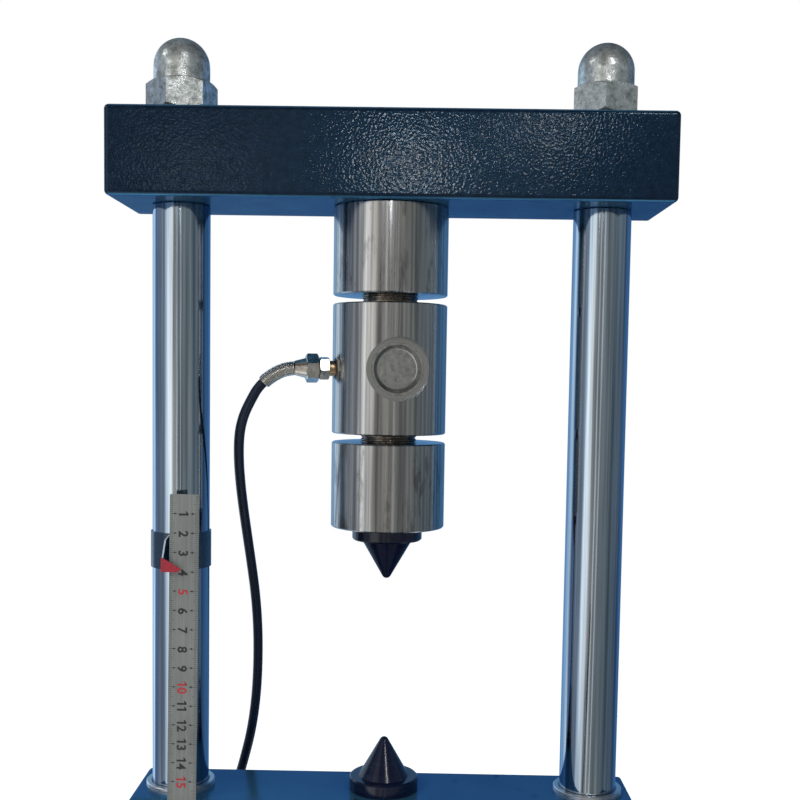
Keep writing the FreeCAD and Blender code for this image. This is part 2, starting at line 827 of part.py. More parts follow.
def ruler_screws():
    front = -crosshead_depth / 2.0 - ruler_thickness
    screws = []
    for x, z in ruler_screw_places():
        head = ruler_screw_head_dia / 2.0
        tall = ruler_screw_head_height
        body = turned([(0, -6.0), (ruler_screw_dia / 2.0, -6.0), (ruler_screw_dia / 2.0, 0),
                       (head, 0), (head, tall * 0.45), (head * 0.8, tall * 0.9),
                       (head * 0.5, tall), (0, tall)])
        for turn in (0, 90):
            slot = Part.makeBox(3.2, 0.7, 1.2, V(-1.6, -0.35, tall - 1.1))
            slot.rotate(V(0, 0, 0), UP, turn)
            body = body.cut(slot)
        screws.append(aimed(body, V(x, front, z), V(0, -1, 0)))
    return Part.makeCompound(screws)


def pointer_band():
    """A sheet band clamped round the left column, with the arm that carries the arrow."""
    low = head_top + band_level
    high = low + band_height
    inner = column_dia / 2.0 + running_fit
    outer = inner + band_thickness
    body = tube(outer, inner, low, high, -column_x)
    ears = [Part.makeBox(band_thickness, band_ear, band_height,
                         V(-column_x + side, outer - band_thickness, low))
            for side in (-band_gap / 2.0 - band_thickness, band_gap / 2.0)]
    body = body.fuse(ears)
    body = body.cut(Part.makeBox(band_gap, outer + band_ear, band_height,
                                 V(-column_x - band_gap / 2.0, 0, low)))
    body = body.cut(cylinder(inner, low, high, -column_x))
    screw_y = outer + band_ear * 0.5
    hole = rod(pointer_screw_dia / 2.0 + thread_fit, V(-column_x, screw_y, low + band_height / 2.0),
               V(1, 0, 0), -band_gap, band_gap)
    body = body.cut(hole).fuse(pointer_arm()).removeSplitter()
    return body.cut(cylinder(inner, low, high, -column_x))


def arm_root():
    """Where the arm leaves the band, as X and Y."""
    radius = column_dia / 2.0 + running_fit + band_thickness
    lean = math.asin(3.2 / radius)
    return -column_x - radius * math.sin(lean), -radius * math.cos(lean)


def pointer_arm():
    low = head_top + band_level
    high = low + band_height
    x, y = arm_root()
    reach = math.hypot(arm_reach, arm_lean)
    outline = [(0.6, low), (0.6, high), (-reach * 0.6, high - 2.4), (-reach, high - 11.5),
               (-reach, low + arrow_rise)]
    arm = plate(outline, band_thickness, 0)
    arm.rotate(V(0, 0, 0), UP, -math.degrees(math.atan2(arm_lean, arm_reach)))
    arm.translate(V(x, y, 0))
    return arm


def pointer_arrow():
    """The red arrow head in front of the scale."""
    low = head_top + band_level + arrow_rise
    x, y = arm_root()
    left = x - arm_lean - 0.2
    corner = band_thickness * math.sin(math.atan2(arm_lean, arm_reach))
    front = y - arm_reach - corner - arrow_thickness
    outline = [V(left, front, low), V(left, front, low + arrow_height),
               V(left + arrow_length * 0.25, front, low + arrow_height * 0.82),
               V(left + arrow_length, front, low + arrow_height * 0.2),
               V(left + arrow_length * 0.76, front, low)]
    return Part.Face(Part.makePolygon(outline + outline[:1])).extrude(V(0, arrow_thickness, 0))


def pointer_screw():
    """The small screw and nut that draw the band's ears together."""
    outer = column_dia / 2.0 + running_fit + band_thickness
    middle = V(-column_x, outer + band_ear * 0.5, head_top + band_level + band_height / 2.0)
    side = band_gap / 2.0 + band_thickness
    radius = pointer_screw_dia / 2.0
    screw = rod(radius, middle, V(1, 0, 0), -side - 3.5, side + 2.4)
    head = rod(radius * 1.85, middle, V(1, 0, 0), side, side + 2.4)
    screw = screw.fuse(head).removeSplitter()
    nut = aimed(hex_bar(5.5, side, side + 2.4, 0, 0, 0, radius + thread_fit), middle, V(-1, 0, 0))
    return Part.makeCompound([screw, nut])


# Hydraulic jack

def ear_plate(inner):
    """One upright ear of the lever's fulcrum, tapered up to a round top."""
    base = [(fulcrum_y - ear_foot / 2.0, jack_top), (fulcrum_y + ear_foot / 2.0, jack_top),
            (fulcrum_y + ear_radius * 0.98, fulcrum_z + ear_radius * 0.2),
            (fulcrum_y - ear_radius * 0.98, fulcrum_z + ear_radius * 0.2)]
    web = plate(base, ear_thickness, inner)
    top = rod(ear_radius, fulcrum, V(1, 0, 0), inner, inner + ear_thickness)
    return web.fuse(top)


def jack_base():
    depth = jack_base_back + jack_base_front
    middle = (jack_base_back - jack_base_front) / 2.0
    body = block(jack_base_width, depth, base_top, jack_top, jack_base_corner, 0, middle)
    body = body.makeFillet(3.0, edges_at(body, jack_top))
    boss = cylinder(pump_boss_dia / 2.0, base_top, jack_top + pump_boss_height, 0, pump_y)
    front = V(release_x, -jack_base_front, release_z)
    collar = rod(release_boss_dia / 2.0, front, V(0, -1, 0), -4.0, release_boss_length)
    body = body.fuse([boss, collar, ear_plate(ear_inner), ear_plate(-ear_inner - ear_thickness)])
    body = body.removeSplitter()
    body = body.cut(cylinder(barrel_dia / 2.0 + seat_fit, jack_top - barrel_seat, jack_top))
    thread_low = jack_top + pump_boss_height - pump_thread_length
    body = body.cut(cylinder(pump_thread_dia / 2.0 + thread_fit, thread_low,
                             jack_top + pump_boss_height, 0, pump_y))
    gallery = V(0, pump_y, thread_low + 3.0)
    body = body.cut(rod(2.0, gallery, V(0, 1, 0), 0, -pump_y))
    body = body.cut(cylinder(2.0, thread_low + 3.0, jack_top - barrel_seat))
    body = body.cut(rod(spindle_dia / 2.0 + running_fit, front, V(0, -1, 0),
                        -spindle_depth - 1.0, release_boss_length))
    body = body.cut(rod(fulcrum_pin_dia / 2.0 + seat_fit, fulcrum, V(1, 0, 0),
                        -ear_inner - ear_thickness, ear_inner + ear_thickness))
    for x, y in jack_screw_places():
        body = body.cut(cylinder(jack_screw_dia / 2.0 + hole_clearance, base_top, jack_top, x, y))
    return body


def jack_base_screws():
    screws = []
    radius = jack_screw_dia / 2.0
    head = radius * 1.625
    top = jack_top + jack_screw_head
    low = base_top - base_thickness * 0.75
    for x, y in jack_screw_places():
        body = turned([(0, low), (radius, low), (radius, jack_top), (head, jack_top),
                       (head, top - 0.8), (head - 0.8, top), (0, top)], x, y)
        screws.append(body.cut(hex_bar(radius * 1.5, top - radius, top + 2.0, x, y)))
    return Part.makeCompound(screws)


def tank_gaskets():
    outer = tank_dia / 2.0
    inner = outer - tank_wall
    return Part.makeCompound([tube(outer, inner, jack_top, jack_top + gasket_thickness),
                              tube(outer, inner, tank_top - gasket_thickness, tank_top)])


def reservoir_tube():
    outer = tank_dia / 2.0
    low = jack_top + gasket_thickness
    body = tube(outer, outer - tank_wall, low, tank_top - gasket_thickness)
    hole = rod(filler_bore_dia / 2.0 + seat_fit, V(0, 0, jack_top + filler_level), V(1, 0, 0),
               barrel_dia / 2.0, outer + 1.0)
    return body.cut(hole)


def filler_plug():
    """The rubber plug in the side of the oil tank; its head lies on the round wall."""
    outer = tank_dia / 2.0
    level = V(0, 0, jack_top + filler_level)
    x_axis = V(1, 0, 0)
    stem = rod(filler_bore_dia / 2.0, level, x_axis, outer - tank_wall - 3.0, outer + 1.0)
    head = rod(filler_head_dia / 2.0, level, x_axis, outer - 1.5, outer + filler_head_length)
    head = head.cut(cylinder(outer, jack_top, tank_top))
    return head.fuse(stem).removeSplitter()


def pressure_cylinder():
    bore = barrel_bore_dia / 2.0
    return tube(barrel_dia / 2.0, bore, jack_top - barrel_seat, tank_top + barrel_top)


def head_nut():
    """The cap that screws on the cylinder, clamps the oil tank and guides the ram."""
    flange = head_flange_dia / 2.0
    spigot = tank_dia / 2.0 - tank_wall - hole_clearance
    top = tank_top + head_flange_height
    body = turned([(0, tank_top - 6.0), (spigot, tank_top - 6.0), (spigot, tank_top),
                   (flange, tank_top), (flange, top - 2.0), (flange - 2.0, top), (0, top)])
    crown = top + head_hex_height
    body = body.fuse(hex_bar(head_hex_width, top - 1.0, crown)).removeSplitter()
    seat = barrel_dia / 2.0 + thread_fit
    body = body.cut(cylinder(seat, tank_top - 6.0, tank_top + barrel_top))
    body = body.cut(cylinder(ram_dia / 2.0 + running_fit, tank_top - 6.0, crown))
    groove = wiper_dia / 2.0 + seat_fit
    return body.cut(cylinder(groove, crown - wiper_height, crown))


def ram_wiper():
    crown = tank_top + head_flange_height + head_hex_height
    bore = ram_dia / 2.0 + running_fit
    outer = wiper_dia / 2.0
    return turned([(bore + 0.6, crown - wiper_height), (outer, crown - wiper_height),
                   (outer, crown), (bore + 1.8, crown), (bore, crown + 1.4),
                   (bore, crown - wiper_height + 1.0)])


def jack_ram():
    """The lifting ram: piston spigot at its foot and the stud that holds the crosshead on top."""
    radius = ram_dia / 2.0
    spigot = piston_spigot_dia / 2.0
    stud = ram_stud_dia / 2.0
    foot = jack_top - barrel_seat + piston_lift
    top = head_bottom - saddle_height
    return turned([(0, foot - 2.0), (spigot - 1.0, foot - 2.0), (spigot, foot - 1.0),
                   (spigot, foot + piston_length), (radius, foot + piston_length),
                   (radius, top), (stud, top), (stud, head_bottom + ram_stud_length - 1.0),
                   (stud - 1.0, head_bottom + ram_stud_length), (0, head_bottom + ram_stud_length)])


def ram_piston():
    foot = jack_top - barrel_seat + piston_lift
    outer = barrel_bore_dia / 2.0 - running_fit
    bore = piston_spigot_dia / 2.0 + seat_fit
    groove_low = foot + (piston_length - piston_groove_length) / 2.0
    body = tube(outer, bore, foot, foot + piston_length)
    ring = tube(outer, outer - piston_groove_depth, groove_low, groove_low + piston_groove_length)
    return body.cut(ring)


def piston_seal():
    foot = jack_top - barrel_seat + piston_lift
    outer = barrel_bore_dia / 2.0 - running_fit
    inner = outer - piston_groove_depth + seat_fit
    low = foot + (piston_length - piston_groove_length) / 2.0 + seat_fit
    high = low + piston_groove_length - 2.0 * seat_fit
    lip = 1.2
    middle = (outer + inner) / 2.0
    return turned([(inner, low + lip), (middle, low + 2.4), (outer, low), (outer, high),
                   (inner, high)])


def jack_saddle():
    """The pad between the ram and the crosshead, with turned rings in its rim."""
    outer = saddle_dia / 2.0
    low = head_bottom - saddle_height
    profile = [(ram_stud_dia / 2.0 + thread_fit, low), (ram_dia / 2.0 + 1.0, low)]
    profile += [(outer - 1.0, low + 3.0), (outer, low + 4.0)]
    for k in range(3):
        z = low + 5.5 + k * 2.0
        profile += [(outer, z - 0.5), (outer - 0.6, z), (outer, z + 0.5)]
    profile += [(outer, head_bottom - 0.6), (outer - 0.6, head_bottom),
                (ram_stud_dia / 2.0 + thread_fit, head_bottom)]
    return turned(profile)


# Pump and hand lever

def pump_barrel():
    low = jack_top + pump_boss_height
    hex_top = low + pump_hex_height
    top = low + pump_barrel_top
    thread = cylinder(pump_thread_dia / 2.0, low - pump_thread_length + 1.0, low, 0, pump_y)
    flange = hex_bar(pump_hex_width, low, hex_top, 0, pump_y)
    radius = pump_barrel_dia / 2.0
    neck = turned([(0, hex_top - 1.0), (radius, hex_top - 1.0), (radius, top - 1.5),
                   (radius - 1.5, top), (0, top)], 0, pump_y)
    body = thread.fuse([flange, neck]).removeSplitter()
    return body.cut(cylinder(plunger_dia / 2.0 + running_fit, low - pump_thread_length, top,
                             0, pump_y))


def pump_plunger():
    """The pump's plunger, with a flat eye that the lever's slot drives."""
    radius = plunger_dia / 2.0
    low = jack_top + pump_boss_height - pump_thread_length + 1.0 + lever_stroke() + 3.0
    eye_low = fulcrum_z - eye_radius
    groove = low + 3.0
    stem = turned([(0, low), (radius - 0.5, low), (radius, low + 0.5), (radius, groove),
                   (radius - 1.5, groove), (radius - 1.5, groove + 3.0), (radius, groove + 3.0),
                   (radius, eye_low + 3.0), (0, eye_low + 3.0)], 0, pump_y)
    pin = V(0, pump_y, fulcrum_z)
    half = eye_thickness / 2.0
    eye = rod(eye_radius, pin, V(1, 0, 0), -half, half)
    body = stem.fuse(eye).removeSplitter()
    side = Part.makeBox(plunger_dia, 2 * eye_radius, 2 * eye_radius,
                        V(half, pump_y - eye_radius, fulcrum_z - eye_radius + 1.0))
    body = body.cut(side)
    side.translate(V(-plunger_dia - eye_thickness, 0, 0))
    body = body.cut(side)
    return body.cut(rod(plunger_pin_dia / 2.0 + seat_fit, pin, V(1, 0, 0), -half, half))


def plunger_seal():
    low = jack_top + pump_boss_height - pump_thread_length + 1.0 + lever_stroke() + 6.0
    radius = plunger_dia / 2.0
    return tube(radius, radius - 1.5 + seat_fit, low + seat_fit, low + 3.0 - seat_fit, 0, pump_y)


def lever_stroke():
    """How far the plunger moves from rest to either end of the lever's swing."""
    return pump_arm * math.tan(math.radians(lever_swing))


def grooved_pin(radius, centre, half):
    """A cross pin with a snap ring groove near each end."""
    neck = radius - clip_groove
    body = rod(radius, centre, V(1, 0, 0), -half, half)
    for side in (-1, 1):
        edge = half - 1.6
        ring = rod(radius, centre, V(side, 0, 0), edge - clip_thickness, edge)
        ring = ring.cut(rod(neck, centre, V(side, 0, 0), edge - clip_thickness, edge))
        body = body.cut(ring)
    return body


def fulcrum_pin():
    return grooved_pin(fulcrum_pin_dia / 2.0, fulcrum, ear_inner + ear_thickness + 3.2)


def pin_clips():
    """Snap rings that keep the fulcrum pin in its ears."""
    half = ear_inner + ear_thickness + 1.6
    neck = fulcrum_pin_dia / 2.0 - clip_groove + seat_fit
    rings = []
    for side in (-1, 1):
        start = half - clip_thickness + seat_fit
        ring = rod(clip_dia / 2.0, fulcrum, V(side, 0, 0), start, half - seat_fit)
        ring = ring.cut(rod(neck, fulcrum, V(side, 0, 0), start, half))
        mouth = Part.makeBox(clip_thickness * 2, neck * 1.7, clip_dia,
                             V(side * half - clip_thickness, fulcrum_y - neck * 0.85,
                               fulcrum_z - clip_dia))
        rings.append(ring.cut(mouth))
    return Part.makeCompound(rings)


def plunger_pin():
    half = cheek_inner + cheek_thickness + 0.4
    body = rod(plunger_pin_dia / 2.0, V(0, pump_y, fulcrum_z), V(1, 0, 0), -half, half)
    return body.makeChamfer(0.6, [e for e in body.Edges if e.Curve.TypeId == "Part::GeomCircle"])


def lever_point(along, across):
    """A point in the lever's plane: along the handle from the fulcrum, and square to it."""
    lean = math.radians(handle_angle)
    y = fulcrum_y - along * math.cos(lean) + across * math.sin(lean)
    return y, fulcrum_z + along * math.sin(lean) + across * math.cos(lean)


def slot_reach():
    """The plunger pin's travel along its slot, from the middle of the slot to one end."""
    return pump_arm * (1.0 / math.cos(math.radians(lever_swing)) - 1.0) / 2.0


def cheek(inner):
    """One side plate of the handle socket, with the pivot hole and the plunger pin's slot."""
    radius = socket_radius()
    middle = pump_y - slot_reach()
    top_y, top_z = lever_point(socket_start, radius)
    low_y, low_z = lever_point(socket_start, -radius)
    back = math.radians(115)
    outline = [(fulcrum_y, fulcrum_z - cheek_radius), (middle, fulcrum_z - cheek_radius),
               (low_y, low_z), (top_y, top_z),
               (fulcrum_y - cheek_radius * math.cos(back), fulcrum_z + cheek_radius * math.sin(back))]
    x_axis = V(1, 0, 0)
    body = plate(outline, cheek_thickness, inner)
    for y in (fulcrum_y, middle):
        body = body.fuse(rod(cheek_radius, V(0, y, fulcrum_z), x_axis, inner,
                             inner + cheek_thickness))
    body = body.removeSplitter()
    body = body.cut(rod(fulcrum_pin_dia / 2.0 + running_fit, fulcrum, x_axis, inner,
                        inner + cheek_thickness))
    half = plunger_pin_dia / 2.0 + slot_play
    reach = slot_reach() + 0.2
    slot = Part.makeBox(cheek_thickness, 2 * reach, 2 * half,
                        V(inner, middle - reach, fulcrum_z - half))
    ends = [rod(half, V(0, middle + s * reach, fulcrum_z), x_axis, inner, inner + cheek_thickness)
            for s in (-1, 1)]
    return body.cut(slot.fuse(ends))


def socket_radius():
    return handle_dia / 2.0 + thread_fit + socket_wall


def handle_socket():
    """The forged socket: a tube for the handle on two side plates."""
    radius = socket_radius()
    end = socket_start + socket_length
    body = rod(radius, fulcrum, lever_axis, socket_start, end)
    body = body.makeFillet(1.0, [e for e in body.Edges if e.Curve.TypeId == "Part::GeomCircle"])
    body = body.cut(rod(handle_dia / 2.0 + thread_fit, fulcrum, lever_axis,
                        socket_start + socket_plate, end))
    body = body.fuse([cheek(cheek_inner), cheek(-cheek_inner - cheek_thickness)])
    body = body.removeSplitter()
    across = socket_screw_axis()
    hole = rod(socket_screw_dia / 2.0 + thread_fit, socket_screw_foot(), across,
               0, socket_wall + 2.0)
    return body.cut(hole)


def socket_screw_axis():
    lean = math.radians(handle_angle)
    return V(0, math.sin(lean), math.cos(lean))


def socket_screw_foot():
    """Where the socket's screw meets the handle tube."""
    along = socket_start + socket_length * 0.72
    return fulcrum + lever_axis * along + socket_screw_axis() * (handle_dia / 2.0)


def socket_screw():
    """The wing screw that holds the handle in its socket."""
    radius = socket_screw_dia / 2.0
    foot = socket_screw_foot()
    axis = socket_screw_axis()
    body = rod(radius, foot, axis, 0, 16.0)
    hub = rod(radius * 1.8, foot, axis, 7.0, 13.0)
    wing = Part.makeBox(24.0, 3.0, 9.0, V(-12.0, -1.5, 9.0))
    upright = [e for e in wing.Edges if abs(e.Length - 3.0) < 1e-6]
    wing = wing.makeFillet(3.5, upright)
    wing = aimed(wing, foot, axis)
    return body.fuse([hub, wing]).removeSplitter()


def handle_tube():
    start = socket_start + socket_plate + 0.3
    end = start + handle_length
    body = rod(handle_dia / 2.0, fulcrum, lever_axis, start, end)
    return body.cut(rod(handle_dia / 2.0 - handle_wall, fulcrum, lever_axis, start, end))


def handle_grip():
    """A moulded rubber grip with finger rings and a closed, rounded end."""
    handle_end = socket_start + socket_plate + 0.3 + handle_length
    start = handle_end - grip_length
    end = handle_end + grip_end
    radius = handle_dia / 2.0 + grip_thickness
    bore = handle_dia / 2.0 + seat_fit
    profile = [(0, handle_end), (bore, handle_end), (bore, start), (radius - 1.0, start),
               (radius + 1.5, start + 2.0), (radius + 1.5, start + 5.0), (radius, start + 7.0)]
    rings = 7
    span = (grip_length - 24.0) / rings
    for k in range(rings):
        low = start + 12.0 + k * span
        profile += [(radius, low), (radius - 1.0, low + 1.5), (radius - 1.0, low + 3.5),
                    (radius, low + 5.0)]
    profile += [(radius, end - 3.0), (radius - 3.0, end), (0, end)]
    return aimed(turned(profile), fulcrum, lever_axis)


# Release valve

def release_spindle():
    front = V(release_x, -jack_base_front, release_z)
    radius = spindle_dia / 2.0
    end = release_boss_length + knob_gap + knob_length - 2.0
    body = turned([(0, -spindle_depth), (0.6, -spindle_depth), (radius, radius - spindle_depth),
                   (radius, end), (0, end)])
    return aimed(body, front, V(0, -1, 0))


def release_knob():
    """A fluted hand knob on the spindle, in front of the base plate."""
    radius = knob_dia / 2.0
    body = turned([(0, 0), (radius * 0.55, 0), (radius - 2.0, 2.0), (radius, 4.0),
                   (radius, knob_length - 2.5), (radius - 2.5, knob_length), (0, knob_length)])
    for k in range(knob_flutes):
        a = 2 * math.pi * k / knob_flutes
        body = body.cut(cylinder(knob_flute_dia / 2.0, 0, knob_length,
                                 (radius + 1.2) * math.cos(a), (radius + 1.2) * math.sin(a)))
    body = body.cut(cylinder(spindle_dia / 2.0 + seat_fit, 0, knob_length - 2.0))
    start = V(release_x, -jack_base_front - release_boss_length - knob_gap, release_z)
    return aimed(body, start, V(0, -1, 0))


def all_parts():
    return {
        "rubber_feet": rubber_feet(),
        "foot_screws": foot_screws(),
        "base_plate": base_plate(),
        "lower_column_nuts": lower_column_nuts(),
        "column_washers": column_washers(),
        "left_column": column(-column_x),
        "right_column": column(column_x),
        "top_crossbeam": top_crossbeam(),
        "cap_nuts": both_sides(cap_nut),
        "hanger_bolt": hanger_bolt(),
        "upper_adapter": upper_adapter(),
        "link_studs": link_studs(),
        "load_cell_body": load_cell_body(),
        "gauge_covers": gauge_covers(),
        "strain_gauges": strain_gauges(),
        "point_holder": point_holder(),
        "upper_point": upper_point(),
        "gland_nipple": gland_nipple(),
        "gland_lock_nut": gland_lock_nut(),
        "gland_cap": gland_cap(),
        "gland_seal": gland_seal(),
        "spring_guard": spring_guard(),
        "cell_cable": cable_tube(cable_points(), "cell_cable"),
        "cable_coil": cable_coil(),
        "cable_tail": cable_tube([V(*p) for p in tail_route], "cable_tail"),
        "connector_boot": connector_boot(),
        "connector_shell": connector_shell(),
        "jack_base": jack_base(),
        "jack_base_screws": jack_base_screws(),
        "reservoir_tube": reservoir_tube(),
        "tank_gaskets": tank_gaskets(),
        "pressure_cylinder": pressure_cylinder(),
        "head_nut": head_nut(),
        "ram_wiper": ram_wiper(),
        "filler_plug": filler_plug(),
        "pump_barrel": pump_barrel(),
        "fulcrum_pin": fulcrum_pin(),
        "pin_clips": pin_clips(),
        "lower_crosshead": lower_crosshead(),
        "guide_bushes": both_sides(guide_bush),
        "bush_circlips": both_sides(circlip),
        "lower_point": lower_point(),
        "scale_ruler": scale_ruler(),
        "ruler_screws": ruler_screws(),
        "jack_ram": jack_ram(),
        "jack_saddle": jack_saddle(),
        "ram_piston": ram_piston(),
        "piston_seal": piston_seal(),
        "pump_plunger": pump_plunger(),
        "plunger_pin": plunger_pin(),
        "plunger_seal": plunger_seal(),
        "handle_socket": handle_socket(),
        "handle_tube": handle_tube(),
        "handle_grip": handle_grip(),
        "socket_screw": socket_screw(),
        "release_spindle": release_spindle(),
        "release_knob": release_knob(),
        "pointer_band": pointer_band(),
        "pointer_arrow": pointer_arrow(),
        "pointer_screw": pointer_screw(),
    }


os.makedirs("parts", exist_ok=True)
for name, shape in all_parts().items():
    shape.exportStep("parts/" + name + ".step")
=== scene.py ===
"""Looks for the point load tester: materials, scale markings, spring, cable, strap, studio."""
import json
import math

import bpy
import bmesh
from mathutils import Matrix, Vector

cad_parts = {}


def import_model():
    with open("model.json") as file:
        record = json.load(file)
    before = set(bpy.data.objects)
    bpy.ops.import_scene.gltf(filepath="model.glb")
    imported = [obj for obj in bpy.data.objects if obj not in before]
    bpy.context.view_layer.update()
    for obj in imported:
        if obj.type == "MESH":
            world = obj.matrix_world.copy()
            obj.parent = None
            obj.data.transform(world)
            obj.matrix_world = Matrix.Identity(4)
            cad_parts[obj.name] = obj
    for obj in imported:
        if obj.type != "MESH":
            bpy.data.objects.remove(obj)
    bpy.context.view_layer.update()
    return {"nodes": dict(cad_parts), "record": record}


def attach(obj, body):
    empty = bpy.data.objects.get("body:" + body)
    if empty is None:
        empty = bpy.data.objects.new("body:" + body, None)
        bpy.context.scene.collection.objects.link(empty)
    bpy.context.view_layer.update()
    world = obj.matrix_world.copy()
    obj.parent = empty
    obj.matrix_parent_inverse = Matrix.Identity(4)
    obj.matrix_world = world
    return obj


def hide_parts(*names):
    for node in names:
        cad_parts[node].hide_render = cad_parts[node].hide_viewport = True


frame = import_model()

nodes = frame["nodes"]
scene = bpy.context.scene

# Camera, fitted to the photograph; angles in radians, focal length and horizon in picture
# pixels, sensor in millimetres
CAMERA_AT = (0.0130, -0.5892, 0.5008)
CAMERA_YAW = 0.0114
CAMERA_PITCH = -0.0683
CAMERA_ROLL = -0.0151
FOCAL_PIXELS = 1113.0
HORIZON_PIXEL = 455.0
PICTURE = 800.0
SENSOR = 36.0

# Scale on the crosshead, in metres
RULER_FOOT = Vector((-0.1046, -0.0255, 0.247))
RULER_TILT = math.radians(0.46)
RULER_RIGHT = Vector((math.cos(RULER_TILT), 0.0, -math.sin(RULER_TILT)))
RULER_UP = Vector((math.sin(RULER_TILT), 0.0, math.cos(RULER_TILT)))
RULER_LENGTH = 0.1934
RULER_EDGE = 0.0074
MARKED_MILLIMETRES = 165
NUMBERED = 15
MARK_THICKNESS = 0.00004
# How far each kind of line runs in from the edge, and its width
CENTIMETRE_LINE = (0.0030, 0.00022)
HALF_LINE = (0.0024, 0.00016)
MILLIMETRE_LINE = (0.0016, 0.00016)
# Arrows at the centimetres: tip and tail across from the middle line, and width
ARROWS = ((0.0031, 0.0047, 0.0012), (-0.0036, -0.0050, 0.0010))
DIGIT_SIZE = 0.0066
DIGIT_BASE = -0.0026
DIGIT_BOLDNESS = 0.00018
DIGIT_STEPS = 8
DIGIT_PITCH = 0.0031
DIGIT_SHIFT = 0.0004
# Flag of the 1: how far it sticks out and hangs down, and what share of the drop its upper
# corner and its root stand below the top
FLAG_REACH = 0.0011
FLAG_DROP = 0.0015
FLAG_CORNER = 0.55
FLAG_ROOT = 0.65

# Cable, its spring sleeve and the strap round its turns, in metres; routes in millimetres.
# SPRING_START is the sleeve's first distance from the load line; SPRING_SEARCH is how many points
# of the cable's line, counted from the gland, hold the whole sleeve
CABLE_DIAMETER = 0.0054
CURVE_ORDER = 3
CURVE_STEPS = 8
BEVEL_STEPS = 3
COIL_CENTRE = Vector((-0.072, 0.152, 0.0))
COIL_OUTER = 0.0307
COIL_INNER = 0.0253
COIL_LAYERS = (0.0189, 0.0135, 0.0081, 0.0027)
TURN_POINTS = 16
CHANGE_POINTS = 3
SPRING_START = 0.0500
SPRING_SEARCH = 80
SPRING_END = Vector((-0.0654, -0.0117, 0.4979))
SPRING_RADIUS = 0.00335
SPRING_WIRE = 0.00036
SPRING_PITCH = 0.00074
SPRING_STEPS = 14
TIE_WIDTH = 0.011
TIE_THICKNESS = 0.0008
TIE_SQUEEZE = 0.0003
TIE_CORNER = 0.0024
TIE_LAP = 0.0045
TIE_END_SHARE = 0.35
TIE_ANGLE = math.radians(205.0)
TIE_STEPS = 5

# Load cell, in metres: its middle and its gauge pockets, front and back. The pockets' floor is
# all that lies within POCKET_RADIUS of their axis and within POCKET_DEPTH of the middle plane
CELL_HEIGHT = 0.5057
POCKET_TURN = math.radians(11.0)
POCKET_RADIUS = 0.0162
POCKET_DEPTH = 0.0252
CUTTER_RINGS_PER_METRE = 1600.0

# Pointer: its arm is what lies in front of this Y, in metres
ARM_FRONT = -0.0165

# Steel: its tones from dark to light with their places in the streaks, and its broad bands of
# painted reflection, lighter and darker
TONE_PLACES = (0.30, 0.52, 0.78)
GROUND_TONES = ((0.25, 0.31, 0.37), (0.41, 0.50, 0.60), (0.63, 0.71, 0.78))
TURNED_TONES = ((0.24, 0.245, 0.245), (0.46, 0.455, 0.445), (0.74, 0.72, 0.67))
BROAD_PAINTED_REFLECTION = ((0.36, (0.60, 0.63, 0.66)), (0.50, (0.88, 0.89, 0.90)), (0.64, (1.12, 1.10, 1.06)))
GROUND_ROUGHNESS = (0.05, 0.14)
TURNED_ROUGHNESS = (0.14, 0.28)
STEEL_TINT = (0.80, 0.90, 1.0)
# Pocket floor tones: the cutter's rings, set lighter and more even than the body as a painted
# reflection
CUT_RING_DARK_SHEEN = (0.34, 0.34, 0.33)
CUT_RING_LIGHT_SHEEN = (0.56, 0.55, 0.53)
# Scale of the pattern along Z as a share of its scale across, for scratches and for the painted
# reflection bands
SCRATCH_RUN = 0.012
BAND_RUN = 0.02
SMUDGE_STRETCH = (170.0, 170.0, 45.0)

# Blue paint of the pointer, dark and light, and the light grey of the painted highlight on its
# arm's edges
SHEET_PAINT = ((0.005, 0.018, 0.042), (0.009, 0.028, 0.058))
EDGE_HIGHLIGHT = (0.38, 0.43, 0.48)

CABLE_ROUTE = [
    (-44.2, -8.6, 505.7), (-51.5, -10.0, 505.7), (-58.8, -11.2, 502.9), (-67.0, -11.8, 496.6),
    (-72.4, -9.3, 487.5), (-76.4, -6.0, 479.6), (-79.2, -0.8, 470.0), (-80.5, 6.5, 457.0),
    (-80.8, 14.9, 443.0), (-80.3, 23.1, 428.0), (-79.2, 30.7, 412.0), (-77.7, 37.1, 395.0),
    (-75.9, 42.2, 376.0), (-74.9, 45.6, 356.0), (-75.0, 47.7, 335.0), (-76.2, 49.4, 314.0),
    (-79.2, 51.4, 293.0), (-84.6, 54.0, 272.0), (-90.6, 58.2, 252.0), (-95.8, 64.4, 231.0),
    (-100.0, 73.0, 208.0), (-103.0, 83.0, 180.0), (-104.5, 92.4, 150.0), (-104.8, 101.0, 118.0),
    (-104.4, 109.4, 86.0), (-103.7, 119.0, 57.5), (-103.1, 131.2, 35.5), (-102.7, 144.5, 23.0),
]

TAIL_ROUTE = [
    (-72.0, 182.7, 2.9), (-60.0, 183.3, 3.1), (-49.0, 184.3, 5.4), (-38.0, 184.9, 8.3),
    (-28.3, 185.0, 9.0),
]


